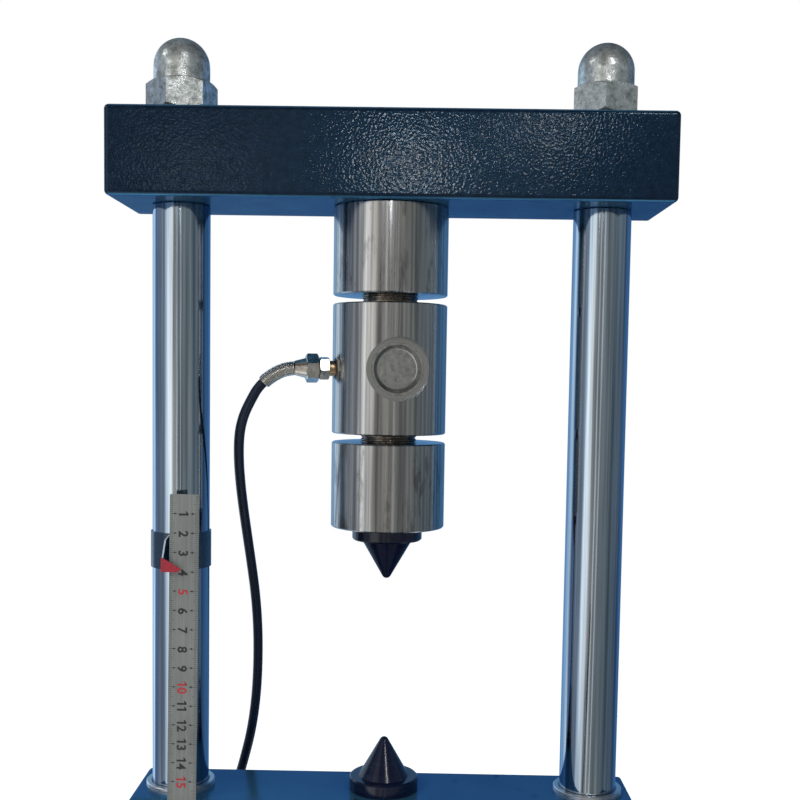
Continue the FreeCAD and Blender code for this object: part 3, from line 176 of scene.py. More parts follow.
class Shader:
    """A node material round one Principled shader, with helpers for its textures."""

    def __init__(self, name):
        self.material = bpy.data.materials.new(name)
        self.material.use_nodes = True
        self.tree = self.material.node_tree
        self.bsdf = self.tree.nodes["Principled BSDF"]
        self.coords = self.tree.nodes.new("ShaderNodeTexCoord").outputs["Object"]

    def link(self, source, target):
        self.tree.links.new(source, target)

    def feed(self, value, socket):
        """Puts a colour, a number or another node's output into a socket."""
        if isinstance(value, tuple):
            socket.default_value = (*value, 1.0)
        elif isinstance(value, (int, float)):
            socket.default_value = value
        else:
            self.link(value, socket)

    def put(self, **sockets):
        for name, value in sockets.items():
            self.feed(value, self.bsdf.inputs[name.replace("_", " ")])

    def noise(self, scale, detail=3.0, roughness=0.6, stretch=(1.0, 1.0, 1.0), shift=0.0):
        mapping = self.tree.nodes.new("ShaderNodeMapping")
        mapping.inputs["Scale"].default_value = stretch
        mapping.inputs["Location"].default_value = (shift, shift * 0.7, shift * 1.3)
        self.link(self.coords, mapping.inputs["Vector"])
        node = self.tree.nodes.new("ShaderNodeTexNoise")
        node.inputs["Scale"].default_value = scale
        node.inputs["Detail"].default_value = detail
        node.inputs["Roughness"].default_value = roughness
        self.link(mapping.outputs["Vector"], node.inputs["Vector"])
        return node.outputs["Fac"]

    def cells(self, scale, smooth=0.6):
        node = self.tree.nodes.new("ShaderNodeTexVoronoi")
        node.feature = "SMOOTH_F1"
        node.inputs["Scale"].default_value = scale
        node.inputs["Smoothness"].default_value = smooth
        self.link(self.coords, node.inputs["Vector"])
        return node.outputs["Distance"]

    def ramp(self, factor, *stops):
        """A colour that follows a value; each stop is a place and its colour."""
        node = self.tree.nodes.new("ShaderNodeValToRGB")
        elements = node.color_ramp.elements
        while len(elements) < len(stops):
            elements.new(0.5)
        for element, (place, color) in zip(elements, stops):
            element.position = place
            element.color = (*color, 1.0)
        self.link(factor, node.inputs["Fac"])
        return node.outputs["Color"]

    def span(self, factor, low, high, start=0.3, end=0.7):
        """A value that runs from low to high while the factor runs from start to end."""
        node = self.tree.nodes.new("ShaderNodeMapRange")
        for name, value in (("From Min", start), ("From Max", end), ("To Min", low),
                            ("To Max", high), ("Value", factor)):
            self.feed(value, node.inputs[name])
        return node.outputs["Result"]

    def maths(self, operation, a, b=0.0):
        node = self.tree.nodes.new("ShaderNodeMath")
        node.operation = operation
        self.feed(a, node.inputs[0])
        self.feed(b, node.inputs[1])
        return node.outputs["Value"]

    def mix(self, a, b, factor, mode="MIX"):
        """A blend of two colours; 6, 7 and 2 are the node's sockets for colours."""
        node = self.tree.nodes.new("ShaderNodeMix")
        node.data_type = "RGBA"
        node.blend_type = mode
        self.feed(factor, node.inputs[0])
        self.feed(a, node.inputs[6])
        self.feed(b, node.inputs[7])
        return node.outputs[2]

    def axes(self, vector):
        node = self.tree.nodes.new("ShaderNodeSeparateXYZ")
        self.link(vector, node.inputs[0])
        return node.outputs["X"], node.outputs["Y"], node.outputs["Z"]

    def normal_axis(self, axis):
        geometry = self.tree.nodes.new("ShaderNodeNewGeometry")
        return self.axes(geometry.outputs["Normal"])[axis]

    def facing(self, axis):
        """How far the surface faces along an axis: 1 straight, 0 square to it."""
        return self.maths("ABSOLUTE", self.normal_axis(axis))

    def upright(self):
        """1 where the surface stands upright, 0 where it lies level."""
        return self.span(self.facing(2), 1.0, 0.0, 0.55, 0.85)

    def bump(self, height, strength, distance):
        node = self.tree.nodes.new("ShaderNodeBump")
        node.inputs["Distance"].default_value = distance
        self.feed(strength, node.inputs["Strength"])
        self.link(height, node.inputs["Height"])
        self.link(node.outputs["Normal"], self.bsdf.inputs["Normal"])
        self.link(node.outputs["Normal"], self.bsdf.inputs["Coat Normal"])


def navy_paint():
    """Thick gloss enamel: orange peel on upright faces, smooth and bluer on level ones, where the
    lighter blue is a painted reflection.
    """
    s = Shader("navy_paint")
    upright = s.upright()
    dark = s.ramp(s.noise(300.0, 2.0, 0.5), (0.35, (0.0020, 0.0060, 0.0150)),
                  (0.70, (0.0042, 0.0110, 0.0260)))
    # Level faces: dark chips on a lighter metallic blue; the blue is a painted reflection of the
    # surroundings, not the paint's own colour
    level_reflection_and_chips = s.ramp(s.noise(95.0, 4.0, 0.62, shift=3.0), (0.30, (0.022, 0.070, 0.125)),
                   (0.37, (0.058, 0.190, 0.330)))
    drift = s.ramp(s.noise(18.0, 2.0, shift=1.0), (0.3, (0.84, 0.88, 0.90)),
                   (0.7, (1.10, 1.06, 1.04)))
    s.put(Base_Color=s.mix(s.mix(level_reflection_and_chips, drift, 1.0, "MULTIPLY"), dark, upright),
          Metallic=s.span(upright, 0.75, 0.0, 0.0, 1.0), Specular_Tint=(0.04, 0.20, 0.34),
          Roughness=s.span(s.noise(60.0, 2.0), 0.16, 0.26),
          Coat_Weight=s.span(upright, 0.0, 0.25, 0.0, 1.0), Coat_Roughness=0.03)
    peel = s.maths("ADD", s.cells(720.0), s.maths("MULTIPLY", s.noise(1050.0, 2.0), 0.6))
    s.bump(peel, s.span(upright, 0.10, 0.82, 0.0, 1.0), 0.000066)
    return s.material


def streaked(s, tones, fine, run, band):
    """Streaks along Z, from fine scratches to broad bands of painted reflection; gives their
    pattern and colour.

    fine and run are the scratches' scales across and along, band is the painted bands' scale
    across.
    """
    streak = s.noise(1.0, 3.0, 0.55, (fine, fine, run))
    # Broad bands along Z that multiply the colour: painted reflection, lighter and darker, not the
    # steel's own tone
    painted_reflection_bands = s.noise(1.0, 2.0, 0.5, (band, band, band * BAND_RUN), 2.0)
    base = s.ramp(streak, *zip(TONE_PLACES, tones))
    return streak, s.mix(base, s.ramp(painted_reflection_bands, *BROAD_PAINTED_REFLECTION), 1.0, "MULTIPLY")


def bar_steel(name, tones, roughness, fine, band, stain=0.0):
    """Bar steel with streaks along Z; stain is how much its smudges darken it."""
    s = Shader(name)
    streak, color = streaked(s, tones, fine, fine * SCRATCH_RUN, band)
    clean = 1.0 - stain
    smudge = s.noise(1.0, 5.0, 0.65, SMUDGE_STRETCH, 5.0)
    soil = s.ramp(smudge, (0.34, (clean, clean, clean)), (0.46, (1.0, 1.0, 1.0)))
    s.put(Base_Color=s.mix(color, soil, 1.0, "MULTIPLY"), Metallic=1.0, Specular_Tint=STEEL_TINT,
          Roughness=s.span(streak, *roughness, 0.3, 0.75))
    s.bump(streak, 0.12, 0.0002)
    return s.material


def cell_steel():
    """Turned steel of the load cell; the floors of its pockets show the cutter's rings, in a
    lighter, more even grey that is a painted reflection.
    """
    s = Shader("cell_steel")
    streak, outer = streaked(s, TURNED_TONES, 520.0, 6.2, 70.0)
    x, y, z = s.axes(s.coords)
    sine, cosine = math.sin(POCKET_TURN), math.cos(POCKET_TURN)
    depth = s.maths("ABSOLUTE", s.maths("SUBTRACT", s.maths("MULTIPLY", x, sine),
                                        s.maths("MULTIPLY", y, cosine)))
    width = s.maths("ADD", s.maths("MULTIPLY", x, cosine), s.maths("MULTIPLY", y, sine))
    height = s.maths("SUBTRACT", z, CELL_HEIGHT)
    radius = s.maths("SQRT", s.maths("ADD", s.maths("MULTIPLY", width, width),
                                     s.maths("MULTIPLY", height, height)))
    near = s.maths("LESS_THAN", radius, POCKET_RADIUS)
    sunk = s.maths("LESS_THAN", depth, POCKET_DEPTH)
    inside = s.maths("MULTIPLY", near, sunk)
    rings = s.maths("FRACT", s.maths("MULTIPLY", radius, CUTTER_RINGS_PER_METRE))
    # Cutter rings on the pocket floors; their lighter, even tone is painted reflection
    cut_rings_and_sheen = s.ramp(rings, (0.0, CUT_RING_DARK_SHEEN), (0.5, CUT_RING_LIGHT_SHEEN), (1.0, CUT_RING_DARK_SHEEN))
    s.put(Base_Color=s.mix(outer, cut_rings_and_sheen, inside), Metallic=1.0, Specular_Tint=STEEL_TINT,
          Roughness=s.span(inside, s.span(streak, *TURNED_ROUGHNESS), 0.26, 0.0, 1.0))
    s.bump(streak, 0.12, 0.0002)
    return s.material


def zinc_plate():
    """Zinc-plated castings, mottled with dull spots."""
    s = Shader("zinc_plate")
    cloud = s.noise(240.0, 5.0, 0.7)
    spots = s.noise(700.0, 3.0, 0.6, shift=4.0)
    base = s.ramp(cloud, (0.32, (0.22, 0.24, 0.235)), (0.50, (0.46, 0.49, 0.48)),
                  (0.66, (0.70, 0.73, 0.74)))
    specks = s.ramp(spots, (0.32, (0.55, 0.57, 0.54)), (0.44, (1.0, 1.0, 1.0)))
    s.put(Base_Color=s.mix(base, specks, 1.0, "MULTIPLY"), Metallic=0.85,
          Roughness=s.span(cloud, 0.46, 0.22))
    s.bump(s.maths("ADD", cloud, spots), 0.25, 0.0004)
    return s.material


def black_oxide():
    """Turned and blackened steel, dull on its undersides; the turning marks run round Z."""
    s = Shader("black_oxide")
    rings = s.noise(1.0, 3.0, 0.6, (25.0, 25.0, 1500.0))
    base = s.ramp(rings, (0.35, (0.002, 0.004, 0.015)), (0.72, (0.005, 0.008, 0.025)))
    rubbed = s.ramp(s.noise(140.0, 4.0, 0.6, shift=6.0), (0.62, (1.0, 1.0, 1.0)),
                    (0.78, (2.0, 2.0, 2.0)))
    s.put(Base_Color=s.mix(base, rubbed, 1.0, "MULTIPLY"),
          Specular_IOR_Level=s.span(s.normal_axis(2), 0.05, 0.4, -0.4, -0.1),
          Roughness=s.span(rings, 0.13, 0.20))
    s.bump(rings, 0.02, 0.0001)
    return s.material


def plain_metal(name, dark, light, roughness, scale):
    s = Shader(name)
    cloud = s.noise(scale, 4.0, 0.62)
    s.put(Base_Color=s.ramp(cloud, (0.32, dark), (0.68, light)), Metallic=1.0,
          Roughness=s.span(cloud, *roughness))
    s.bump(s.noise(scale * 6.0, 2.0), 0.06, 0.0002)
    return s.material


def moulded(name, dark, light, roughness, scale, bump=0.15, shine=0.5):
    """Paint, rubber or plastic with a fine grain."""
    s = Shader(name)
    grain = s.noise(scale, 4.0, 0.6)
    s.put(Base_Color=s.ramp(grain, (0.30, dark), (0.72, light)), Specular_IOR_Level=shine,
          Roughness=s.span(s.noise(scale * 0.2, 3.0), *roughness))
    s.bump(grain, bump, 0.0003)
    return s.material


def pointer_sheet():
    """Painted sheet of the pointer; the edges of its arm are painted light grey as a painted
    highlight.
    """
    s = Shader("pointer_sheet")
    grain = s.noise(500.0, 4.0, 0.6)
    paint = s.ramp(grain, *zip((0.30, 0.72), SHEET_PAINT))
    arm = s.maths("LESS_THAN", s.axes(s.coords)[1], ARM_FRONT)
    # Arm faces not facing along X are its edges: they get the light grey, a painted highlight
    edge = s.maths("MULTIPLY", arm, s.maths("LESS_THAN", s.facing(0), 0.5))
    s.put(Base_Color=s.mix(paint, EDGE_HIGHLIGHT, edge), Roughness=s.span(grain, 0.16, 0.28))
    s.bump(grain, 0.08, 0.0003)
    return s.material


def scale_steel():
    """Satin steel of the rule, brushed along its length."""
    s = Shader("scale_steel")
    brushed = s.noise(1.0, 3.0, 0.6, (1500.0, 1500.0, 40.0))
    base = s.ramp(brushed, (0.3, (0.155, 0.168, 0.163)), (0.7, (0.215, 0.228, 0.219)))
    cloud = s.ramp(s.noise(45.0, 3.0, shift=2.0), (0.3, (0.88, 0.88, 0.88)),
                   (0.7, (1.06, 1.06, 1.05)))
    s.put(Base_Color=s.mix(base, cloud, 1.0, "MULTIPLY"), Metallic=0.3,
          Roughness=s.span(brushed, 0.36, 0.48))
    return s.material


MATERIALS = {
    "navy_paint": navy_paint(),
    "ground_steel": bar_steel("ground_steel", GROUND_TONES, GROUND_ROUGHNESS, 620.0, 95.0),
    "turned_steel": bar_steel("turned_steel", TURNED_TONES, TURNED_ROUGHNESS, 520.0, 70.0, 0.45),
    "cell_steel": cell_steel(),
    "stud_steel": plain_metal("stud_steel", (0.16, 0.15, 0.14), (0.50, 0.46, 0.41),
                              (0.18, 0.34), 420.0),
    "zinc_plate": zinc_plate(),
    "black_oxide": black_oxide(),
    "gauge_foil": moulded("gauge_foil", (0.50, 0.24, 0.04), (0.75, 0.42, 0.10), (0.3, 0.5), 900.0),
    "brass": plain_metal("brass", (0.34, 0.23, 0.12), (0.54, 0.39, 0.24), (0.22, 0.36), 300.0),
    "nickel_plate": plain_metal("nickel_plate", (0.40, 0.39, 0.36), (0.62, 0.60, 0.56),
                                (0.16, 0.30), 260.0),
    "rubber_black": moulded("rubber_black", (0.010, 0.010, 0.011), (0.026, 0.026, 0.028),
                            (0.5, 0.7), 900.0, 0.2),
    "cable_black": moulded("cable_black", (0.002, 0.005, 0.014), (0.005, 0.011, 0.028),
                           (0.24, 0.38), 700.0, 0.08, 0.25),
    "seal_red": moulded("seal_red", (0.30, 0.03, 0.02), (0.45, 0.06, 0.04), (0.35, 0.5), 400.0),
    "scale_steel": scale_steel(),
    "knob_black": moulded("knob_black", (0.012, 0.012, 0.013), (0.022, 0.022, 0.024),
                          (0.25, 0.4), 600.0, 0.1),
    "pointer_sheet": pointer_sheet(),
    "pointer_red": moulded("pointer_red", (0.22, 0.008, 0.018), (0.31, 0.012, 0.028),
                           (0.35, 0.5), 500.0, 0.06),
    "cover_steel": plain_metal("cover_steel", (0.32, 0.32, 0.305), (0.46, 0.46, 0.44),
                               (0.26, 0.36), 420.0),
    "bush_steel": plain_metal("bush_steel", (0.62, 0.62, 0.64), (0.80, 0.80, 0.80),
                              (0.28, 0.42), 260.0),
    "tie_cloth": moulded("tie_cloth", (0.008, 0.008, 0.009), (0.030, 0.030, 0.032),
                         (0.7, 0.9), 1600.0, 0.5),
    "mark_black": moulded("mark_black", (0.010, 0.010, 0.012), (0.020, 0.020, 0.022),
                          (0.45, 0.6), 800.0, 0.02),
    "mark_red": moulded("mark_red", (0.30, 0.012, 0.02), (0.40, 0.025, 0.035),
                        (0.45, 0.6), 800.0, 0.02),
}
# Nodes whose finish differs from the material of their slot
OWN_FINISH = {"gauge_covers": "cover_steel", "guide_bushes": "bush_steel",
              "load_cell_body": "cell_steel", "link_studs": "stud_steel",
              "pointer_band": "pointer_sheet"}

for part in frame["record"]["subparts"]:
    mesh = nodes[part["node"]].data
    finish = OWN_FINISH.get(part["node"], part["material_slot"])
    mesh.materials.clear()
    mesh.materials.append(MATERIALS[finish])


def add_object(name, data):
    piece = bpy.data.objects.new(name, data)
    scene.collection.objects.link(piece)
    return piece


def mesh_piece(name, mesh):
    """An object from a bmesh, which is used up."""
    data = bpy.data.meshes.new(name)
    mesh.to_mesh(data)
    mesh.free()
    return add_object(name, data)


def dress(piece, body, material):
    """Gives a piece its material and hangs it on the body that carries it."""
    piece.data.materials.append(MATERIALS[material])
    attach(piece, body)
    return piece


def baked_mesh(piece):
    bpy.context.view_layer.update()
    graph = bpy.context.evaluated_depsgraph_get()
    return bpy.data.meshes.new_from_object(piece.evaluated_get(graph))


def curve_piece(name, kind, points, wire):
    """A curve object through points; wire is its radius, or 0 for a bare line."""
    data = bpy.data.curves.new(name, "CURVE")
    data.dimensions = "3D"
    spline = data.splines.new(kind)
    spline.points.add(len(points) - 1)
    for point, place in zip(spline.points, points):
        point.co = (*place, 1.0)
    if kind == "NURBS":
        spline.order_u = CURVE_ORDER
        spline.use_endpoint_u = True
        spline.resolution_u = CURVE_STEPS
    data.bevel_depth = wire
    data.bevel_resolution = BEVEL_STEPS
    data.use_fill_caps = True
    return add_object(name, data)


def coil_points():
    """The put-away turns: out and in by turns, from the top layer down, clockwise from above."""
    turns = []
    for layer, height in enumerate(COIL_LAYERS):
        rings = (COIL_OUTER, COIL_INNER) if layer % 2 == 0 else (COIL_INNER, COIL_OUTER)
        turns += [(ring, height) for ring in rings]
    swell = 1.0 / math.sqrt(math.cos(math.pi / TURN_POINTS))
    points = []
    for number in range(len(turns) * TURN_POINTS + TURN_POINTS // 4):
        turn, step = divmod(number, TURN_POINTS)
        ring, height = turns[min(turn, len(turns) - 1)]
        after = turns[min(turn + 1, len(turns) - 1)]
        share = max(0.0, (step - TURN_POINTS + CHANGE_POINTS + 1) / (CHANGE_POINTS + 1.0))
        radius = (ring + (after[0] - ring) * share) * swell
        angle = math.pi - 2.0 * math.pi * step / TURN_POINTS
        points.append(COIL_CENTRE + Vector((radius * math.cos(angle), radius * math.sin(angle),
                                            height + (after[1] - height) * share)))
    return points


def cable_points():
    hanging = [Vector(p) * 0.001 for p in CABLE_ROUTE]
    tail = [Vector(p) * 0.001 for p in TAIL_ROUTE]
    return hanging + coil_points() + tail


def spring_points(line):
    """A close helix round the part of the cable's line that the sleeve covers."""
    lengths = [0.0]
    for a, b in zip(line, line[1:]):
        lengths.append(lengths[-1] + (b - a).length)
    count = int(lengths[-1] / SPRING_PITCH * SPRING_STEPS)
    side = Vector((0.0, 0.0, 1.0))
    points = []
    index = 0
    for k in range(count + 1):
        distance = lengths[-1] * k / count
        while index < len(line) - 2 and lengths[index + 1] < distance:
            index += 1
        run = line[index + 1] - line[index]
        along = run.normalized()
        side = (side - along * side.dot(along)).normalized()
        across = along.cross(side)
        turn = 2.0 * math.pi * k / SPRING_STEPS
        centre = line[index] + along * (distance - lengths[index])
        points.append(centre + (side * math.cos(turn) + across * math.sin(turn)) * SPRING_RADIUS)
    return points


cable = curve_piece("load_cell_cable", "NURBS", cable_points(), 0.0)
line_mesh = baked_mesh(cable)
cable_line = [v.co.copy() for v in line_mesh.vertices]
bpy.data.meshes.remove(line_mesh)
cable.data.bevel_depth = CABLE_DIAMETER / 2.0
dress(cable, "frame", "cable_black")
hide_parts("cell_cable", "cable_coil", "cable_tail")

near = cable_line[:SPRING_SEARCH]
first = next(i for i, p in enumerate(near) if math.hypot(p.x, p.y) >= SPRING_START)
last = min(range(len(near)), key=lambda i: (near[i] - SPRING_END).length)
spring = curve_piece("gland_spring", "POLY", spring_points(near[first:last + 1]), SPRING_WIRE)
dress(spring, "frame", "nickel_plate")
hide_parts("spring_guard")


def coil_tie():
    """A strap of hook-and-loop cloth round the turns, with its end laid over on top."""
    inner = COIL_INNER - CABLE_DIAMETER / 2.0
    outer = COIL_OUTER + CABLE_DIAMETER / 2.0
    top = COIL_LAYERS[0] + CABLE_DIAMETER / 2.0
    band = [(inner + TIE_SQUEEZE, outer - TIE_SQUEEZE, TIE_THICKNESS, top - TIE_SQUEEZE),
            (inner + TIE_SQUEEZE - TIE_THICKNESS, outer - TIE_SQUEEZE + TIE_THICKNESS, 0.0,
             top - TIE_SQUEEZE + TIE_THICKNESS)]
    end = (band[1][0] + TIE_LAP, outer - TIE_SQUEEZE + 2.0 * TIE_THICKNESS, top * TIE_END_SHARE,
           top - TIE_SQUEEZE + 2.0 * TIE_THICKNESS)
    mesh = bmesh.new()

    def outline(near, far, low, high):
        """Rounded corners of the strap's section, as distances from the axis and heights."""
        points = []
        for x, z, start in ((far, high, 0.0), (near, high, 90.0), (near, low, 180.0),
                            (far, low, 270.0)):
            side = 1.0 if x == far else -1.0
            level = 1.0 if z == high else -1.0
            for step in range(TIE_STEPS + 1):
                angle = math.radians(start + 90.0 * step / TIE_STEPS)
                points.append((x + TIE_CORNER * (math.cos(angle) - side),
                               z + TIE_CORNER * (math.sin(angle) - level)))
        return points

    def swept(sections, closed):
        rows = []
        for step in range(TIE_STEPS + 1):
            turn = TIE_ANGLE + TIE_WIDTH / COIL_INNER * (step / TIE_STEPS - 0.5)
            rows.append([[mesh.verts.new(COIL_CENTRE + Vector((r * math.cos(turn),
                                                               r * math.sin(turn), z)))
                          for r, z in section] for section in sections])
        count = len(sections[0])
        spans = range(count if closed else count - 1)
        for a, b in zip(rows, rows[1:]):
            for k in spans:
                after = (k + 1) % count
                for layer in (0, 1):
                    mesh.faces.new((a[layer][k], a[layer][after], b[layer][after], b[layer][k]))
            if not closed:
                for k in (0, count - 1):
                    mesh.faces.new((a[0][k], a[1][k], b[1][k], b[0][k]))
        for row in (rows[0], rows[-1]):
            for k in spans:
                after = (k + 1) % count
                mesh.faces.new((row[0][k], row[0][after], row[1][after], row[1][k]))

    swept([outline(*section) for section in band], True)
    over = outline(*end)[-1:] + outline(*end)[:TIE_STEPS + 2]
    under = outline(*band[1])[-1:] + outline(*band[1])[:TIE_STEPS + 2]
    under[0] = (under[0][0], over[0][1])
    under[-1] = (over[-1][0], under[-1][1])
    swept([under, over], False)
    bmesh.ops.recalc_face_normals(mesh, faces=mesh.faces)
    return mesh_piece("coil_tie", mesh)


tie = dress(coil_tie(), "frame", "tie_cloth")


def ruler_place(across, down):
    """A point on the rule's face: across from its middle line, down from its upper end."""
    return RULER_FOOT + RULER_RIGHT * across + RULER_UP * (RULER_LENGTH - down)


def mark(mesh, corners):
    """A thin raised mark with the given outline, as distances across and down."""
    low = [mesh.verts.new(ruler_place(*corner)) for corner in corners]
    high = [mesh.verts.new(v.co + Vector((0.0, -MARK_THICKNESS, 0.0))) for v in low]
    mesh.faces.new(high)
    for k in range(len(corners)):
        after = (k + 1) % len(corners)
        mesh.faces.new((low[k], low[after], high[after], high[k]))


def line_mark(mesh, start, end, down, width):
    above, below = down - width / 2.0, down + width / 2.0
    mark(mesh, [(start, above), (end, above), (end, below), (start, below)])


def arrow_mark(mesh, tip, tail, down, width):
    mark(mesh, [(tip, down), (tail, down - width / 2.0), (tail, down + width / 2.0)])


def scale_marks():
    """Millimetre lines on both edges, longer at halves and centimetres, with small arrows."""
    mesh = bmesh.new()
    for millimetre in range(1, MARKED_MILLIMETRES + 1):
        down = millimetre * 0.001
        centimetre = millimetre % 10 == 0
        half = millimetre % 5 == 0
        reach, width = (CENTIMETRE_LINE if centimetre else
                        HALF_LINE if half else MILLIMETRE_LINE)
        line_mark(mesh, RULER_EDGE - reach, RULER_EDGE, down, width)
        line_mark(mesh, -RULER_EDGE, reach - RULER_EDGE, down, width)
        if centimetre and millimetre <= NUMBERED * 10:
            for tip, tail, arrow_width in ARROWS:
                arrow_mark(mesh, tip, tail, down, arrow_width)
    bmesh.ops.recalc_face_normals(mesh, faces=mesh.faces)
    return mesh_piece("scale_marks", mesh)


def digit_mesh(digit):
    """One digit lying flat about its own middle; a 1 gets its slanted flag."""
    text = bpy.data.curves.new("digit", "FONT")
    text.body = digit
    text.size = DIGIT_SIZE
    text.resolution_u = DIGIT_STEPS
    text.offset = DIGIT_BOLDNESS
    text.extrude = MARK_THICKNESS
    label = add_object("digit", text)
    flat = baked_mesh(label)
    mesh = bmesh.new()
    mesh.from_mesh(flat)
    bpy.data.meshes.remove(flat)
    bpy.data.objects.remove(label)
    bpy.data.curves.remove(text)
    left = min(v.co.x for v in mesh.verts)
    right = max(v.co.x for v in mesh.verts)
    bmesh.ops.translate(mesh, verts=mesh.verts, vec=(-(left + right) / 2.0, 0.0, 0.0))
    if digit == "1":
        inner = (right - left) / 2.0
        top = max(v.co.y for v in mesh.verts)
        tip = -inner - FLAG_REACH
        corners = [(inner, top), (-inner, top), (tip, top - FLAG_DROP * FLAG_CORNER),
                   (tip, top - FLAG_DROP), (-inner, top - FLAG_DROP * FLAG_ROOT)]
        faces = [[mesh.verts.new((x, y, height)) for x, y in corners]
                 for height in (-MARK_THICKNESS, MARK_THICKNESS)]
        mesh.faces.new(faces[0][::-1])
        mesh.faces.new(faces[1])
        for k in range(len(corners)):
            after = (k + 1) % len(corners)
            mesh.faces.new((faces[0][k], faces[0][after], faces[1][after], faces[1][k]))
        bmesh.ops.recalc_face_normals(mesh, faces=mesh.faces)
    return mesh


def scale_numbers(name, numbers):
    """Centimetre numbers, turned a quarter clockwise on the rule."""
    joined = bmesh.new()
    across, reading = RULER_RIGHT, -RULER_UP
    for number in numbers:
        digits = str(number)
        for index, digit in enumerate(digits):
            shift = (index - (len(digits) - 1) / 2.0) * DIGIT_PITCH + DIGIT_SHIFT
            mesh = digit_mesh(digit)
            place = ruler_place(DIGIT_BASE, number * 0.010 + shift)
            mesh.transform(Matrix((
                (reading.x, across.x, 0.0, place.x),
                (reading.y, across.y, -1.0, place.y),
                (reading.z, across.z, 0.0, place.z),
                (0.0, 0.0, 0.0, 1.0),
            )))
            flat = bpy.data.meshes.new("digit")
            mesh.to_mesh(flat)
            mesh.free()
            joined.from_mesh(flat)
            bpy.data.meshes.remove(flat)
    return mesh_piece(name, joined)


fives = [n for n in range(1, NUMBERED + 1) if n % 5 == 0]
others = [n for n in range(1, NUMBERED + 1) if n % 5]
dress(scale_marks(), "crosshead", "mark_black")
dress(scale_numbers("scale_numbers", others), "crosshead", "mark_black")
dress(scale_numbers("scale_fives", fives), "crosshead", "mark_red")


# Studio

PALE = (0.80, 0.80, 0.80)
WHITE = (1.0, 1.0, 1.0)
FLOOR_RADIUS = 12.0
FLOOR_SIDES = 48
FLOOR_GLOW = 0.42
# Distances over which the floor that the camera sees turns white
FLOOR_FADE = (0.5, 1.3)
SKY = (0.90, 0.95, 1.0)
SKY_STRENGTH = 0.55
CARD_SIDES = 64
CARD_RADIUS = 2.6
CARD_FLOOR = 0.003
CARD_TOP = 2.4
# The cards' section from the ground below the object out and up to the ceiling: radius, height
CARD_SECTION = ((0.32, CARD_FLOOR), (CARD_RADIUS, CARD_FLOOR), (CARD_RADIUS, CARD_TOP),
                (0.01, CARD_TOP))
# Colours of the cards, by degrees from the front, plus to the right: a blue backdrop behind, a
# rim light at the left, a wall, a window at the front left, two narrow strips at the front and
# a darker right side
CARD_STOPS = (
    (-180.0, (0.16, 0.36, 0.66)), (-162.0, (0.26, 0.46, 0.70)), (-140.0, (0.46, 0.68, 0.92)),
    (-129.0, (1.00, 1.20, 1.40)), (-118.0, (1.00, 1.15, 1.30)), (-112.0, (0.22, 0.31, 0.48)),
    (-97.0, (0.20, 0.27, 0.42)), (-89.0, (0.34, 0.38, 0.45)), (-60.0, (0.36, 0.39, 0.44)),
    (-51.0, (1.35, 1.40, 1.45)), (-29.0, (1.40, 1.32, 1.20)), (-23.0, (0.36, 0.33, 0.31)),
    (-11.0, (0.38, 0.36, 0.34)), (-8.0, (1.10, 1.06, 1.00)), (-5.0, (0.34, 0.33, 0.31)),
    (3.0, (0.32, 0.31, 0.30)), (6.0, (1.10, 1.06, 1.00)), (9.0, (0.30, 0.30, 0.29)),
    (45.0, (0.26, 0.28, 0.28)), (60.0, (0.15, 0.18, 0.20)), (68.0, (0.24, 0.28, 0.31)),
    (96.0, (0.18, 0.23, 0.28)), (104.0, (0.05, 0.09, 0.17)), (116.0, (0.07, 0.17, 0.33)),
    (158.0, (0.10, 0.24, 0.46)), (180.0, (0.16, 0.36, 0.66)),
)
# The height where the cards start to dim, the height where they end, and what is left there
CARD_DIMMING = (1.5, CARD_TOP, 0.2)


def background_rays(tree):
    """1 for rays that see the background: straight from the camera, reflected or transmitted."""
    rays = tree.nodes.new("ShaderNodeLightPath")
    value = rays.outputs["Is Camera Ray"]
    for name in ("Is Glossy Ray", "Is Transmission Ray"):
        node = tree.nodes.new("ShaderNodeMath")
        node.operation = "MAXIMUM"
        tree.links.new(value, node.inputs[0])
        tree.links.new(rays.outputs[name], node.inputs[1])
        value = node.outputs[0]
    return value


def empty_tree(owner, output):
    owner.use_nodes = True
    owner.node_tree.nodes.clear()
    return owner.node_tree, owner.node_tree.nodes.new(output).inputs["Surface"]


def color_node(tree, kind, color, strength=None):
    node = tree.nodes.new(kind)
    node.inputs["Color"].default_value = (*color, 1.0)
    if strength is not None:
        node.inputs["Strength"].default_value = strength
    return node.outputs[0]


def blend_nodes(tree, kind, a, b, factor=None):
    node = tree.nodes.new(kind)
    tree.links.new(a, node.inputs[-2])
    tree.links.new(b, node.inputs[-1])
    if factor is not None:
        tree.links.new(factor, node.inputs["Fac"])
    return node.outputs[0]


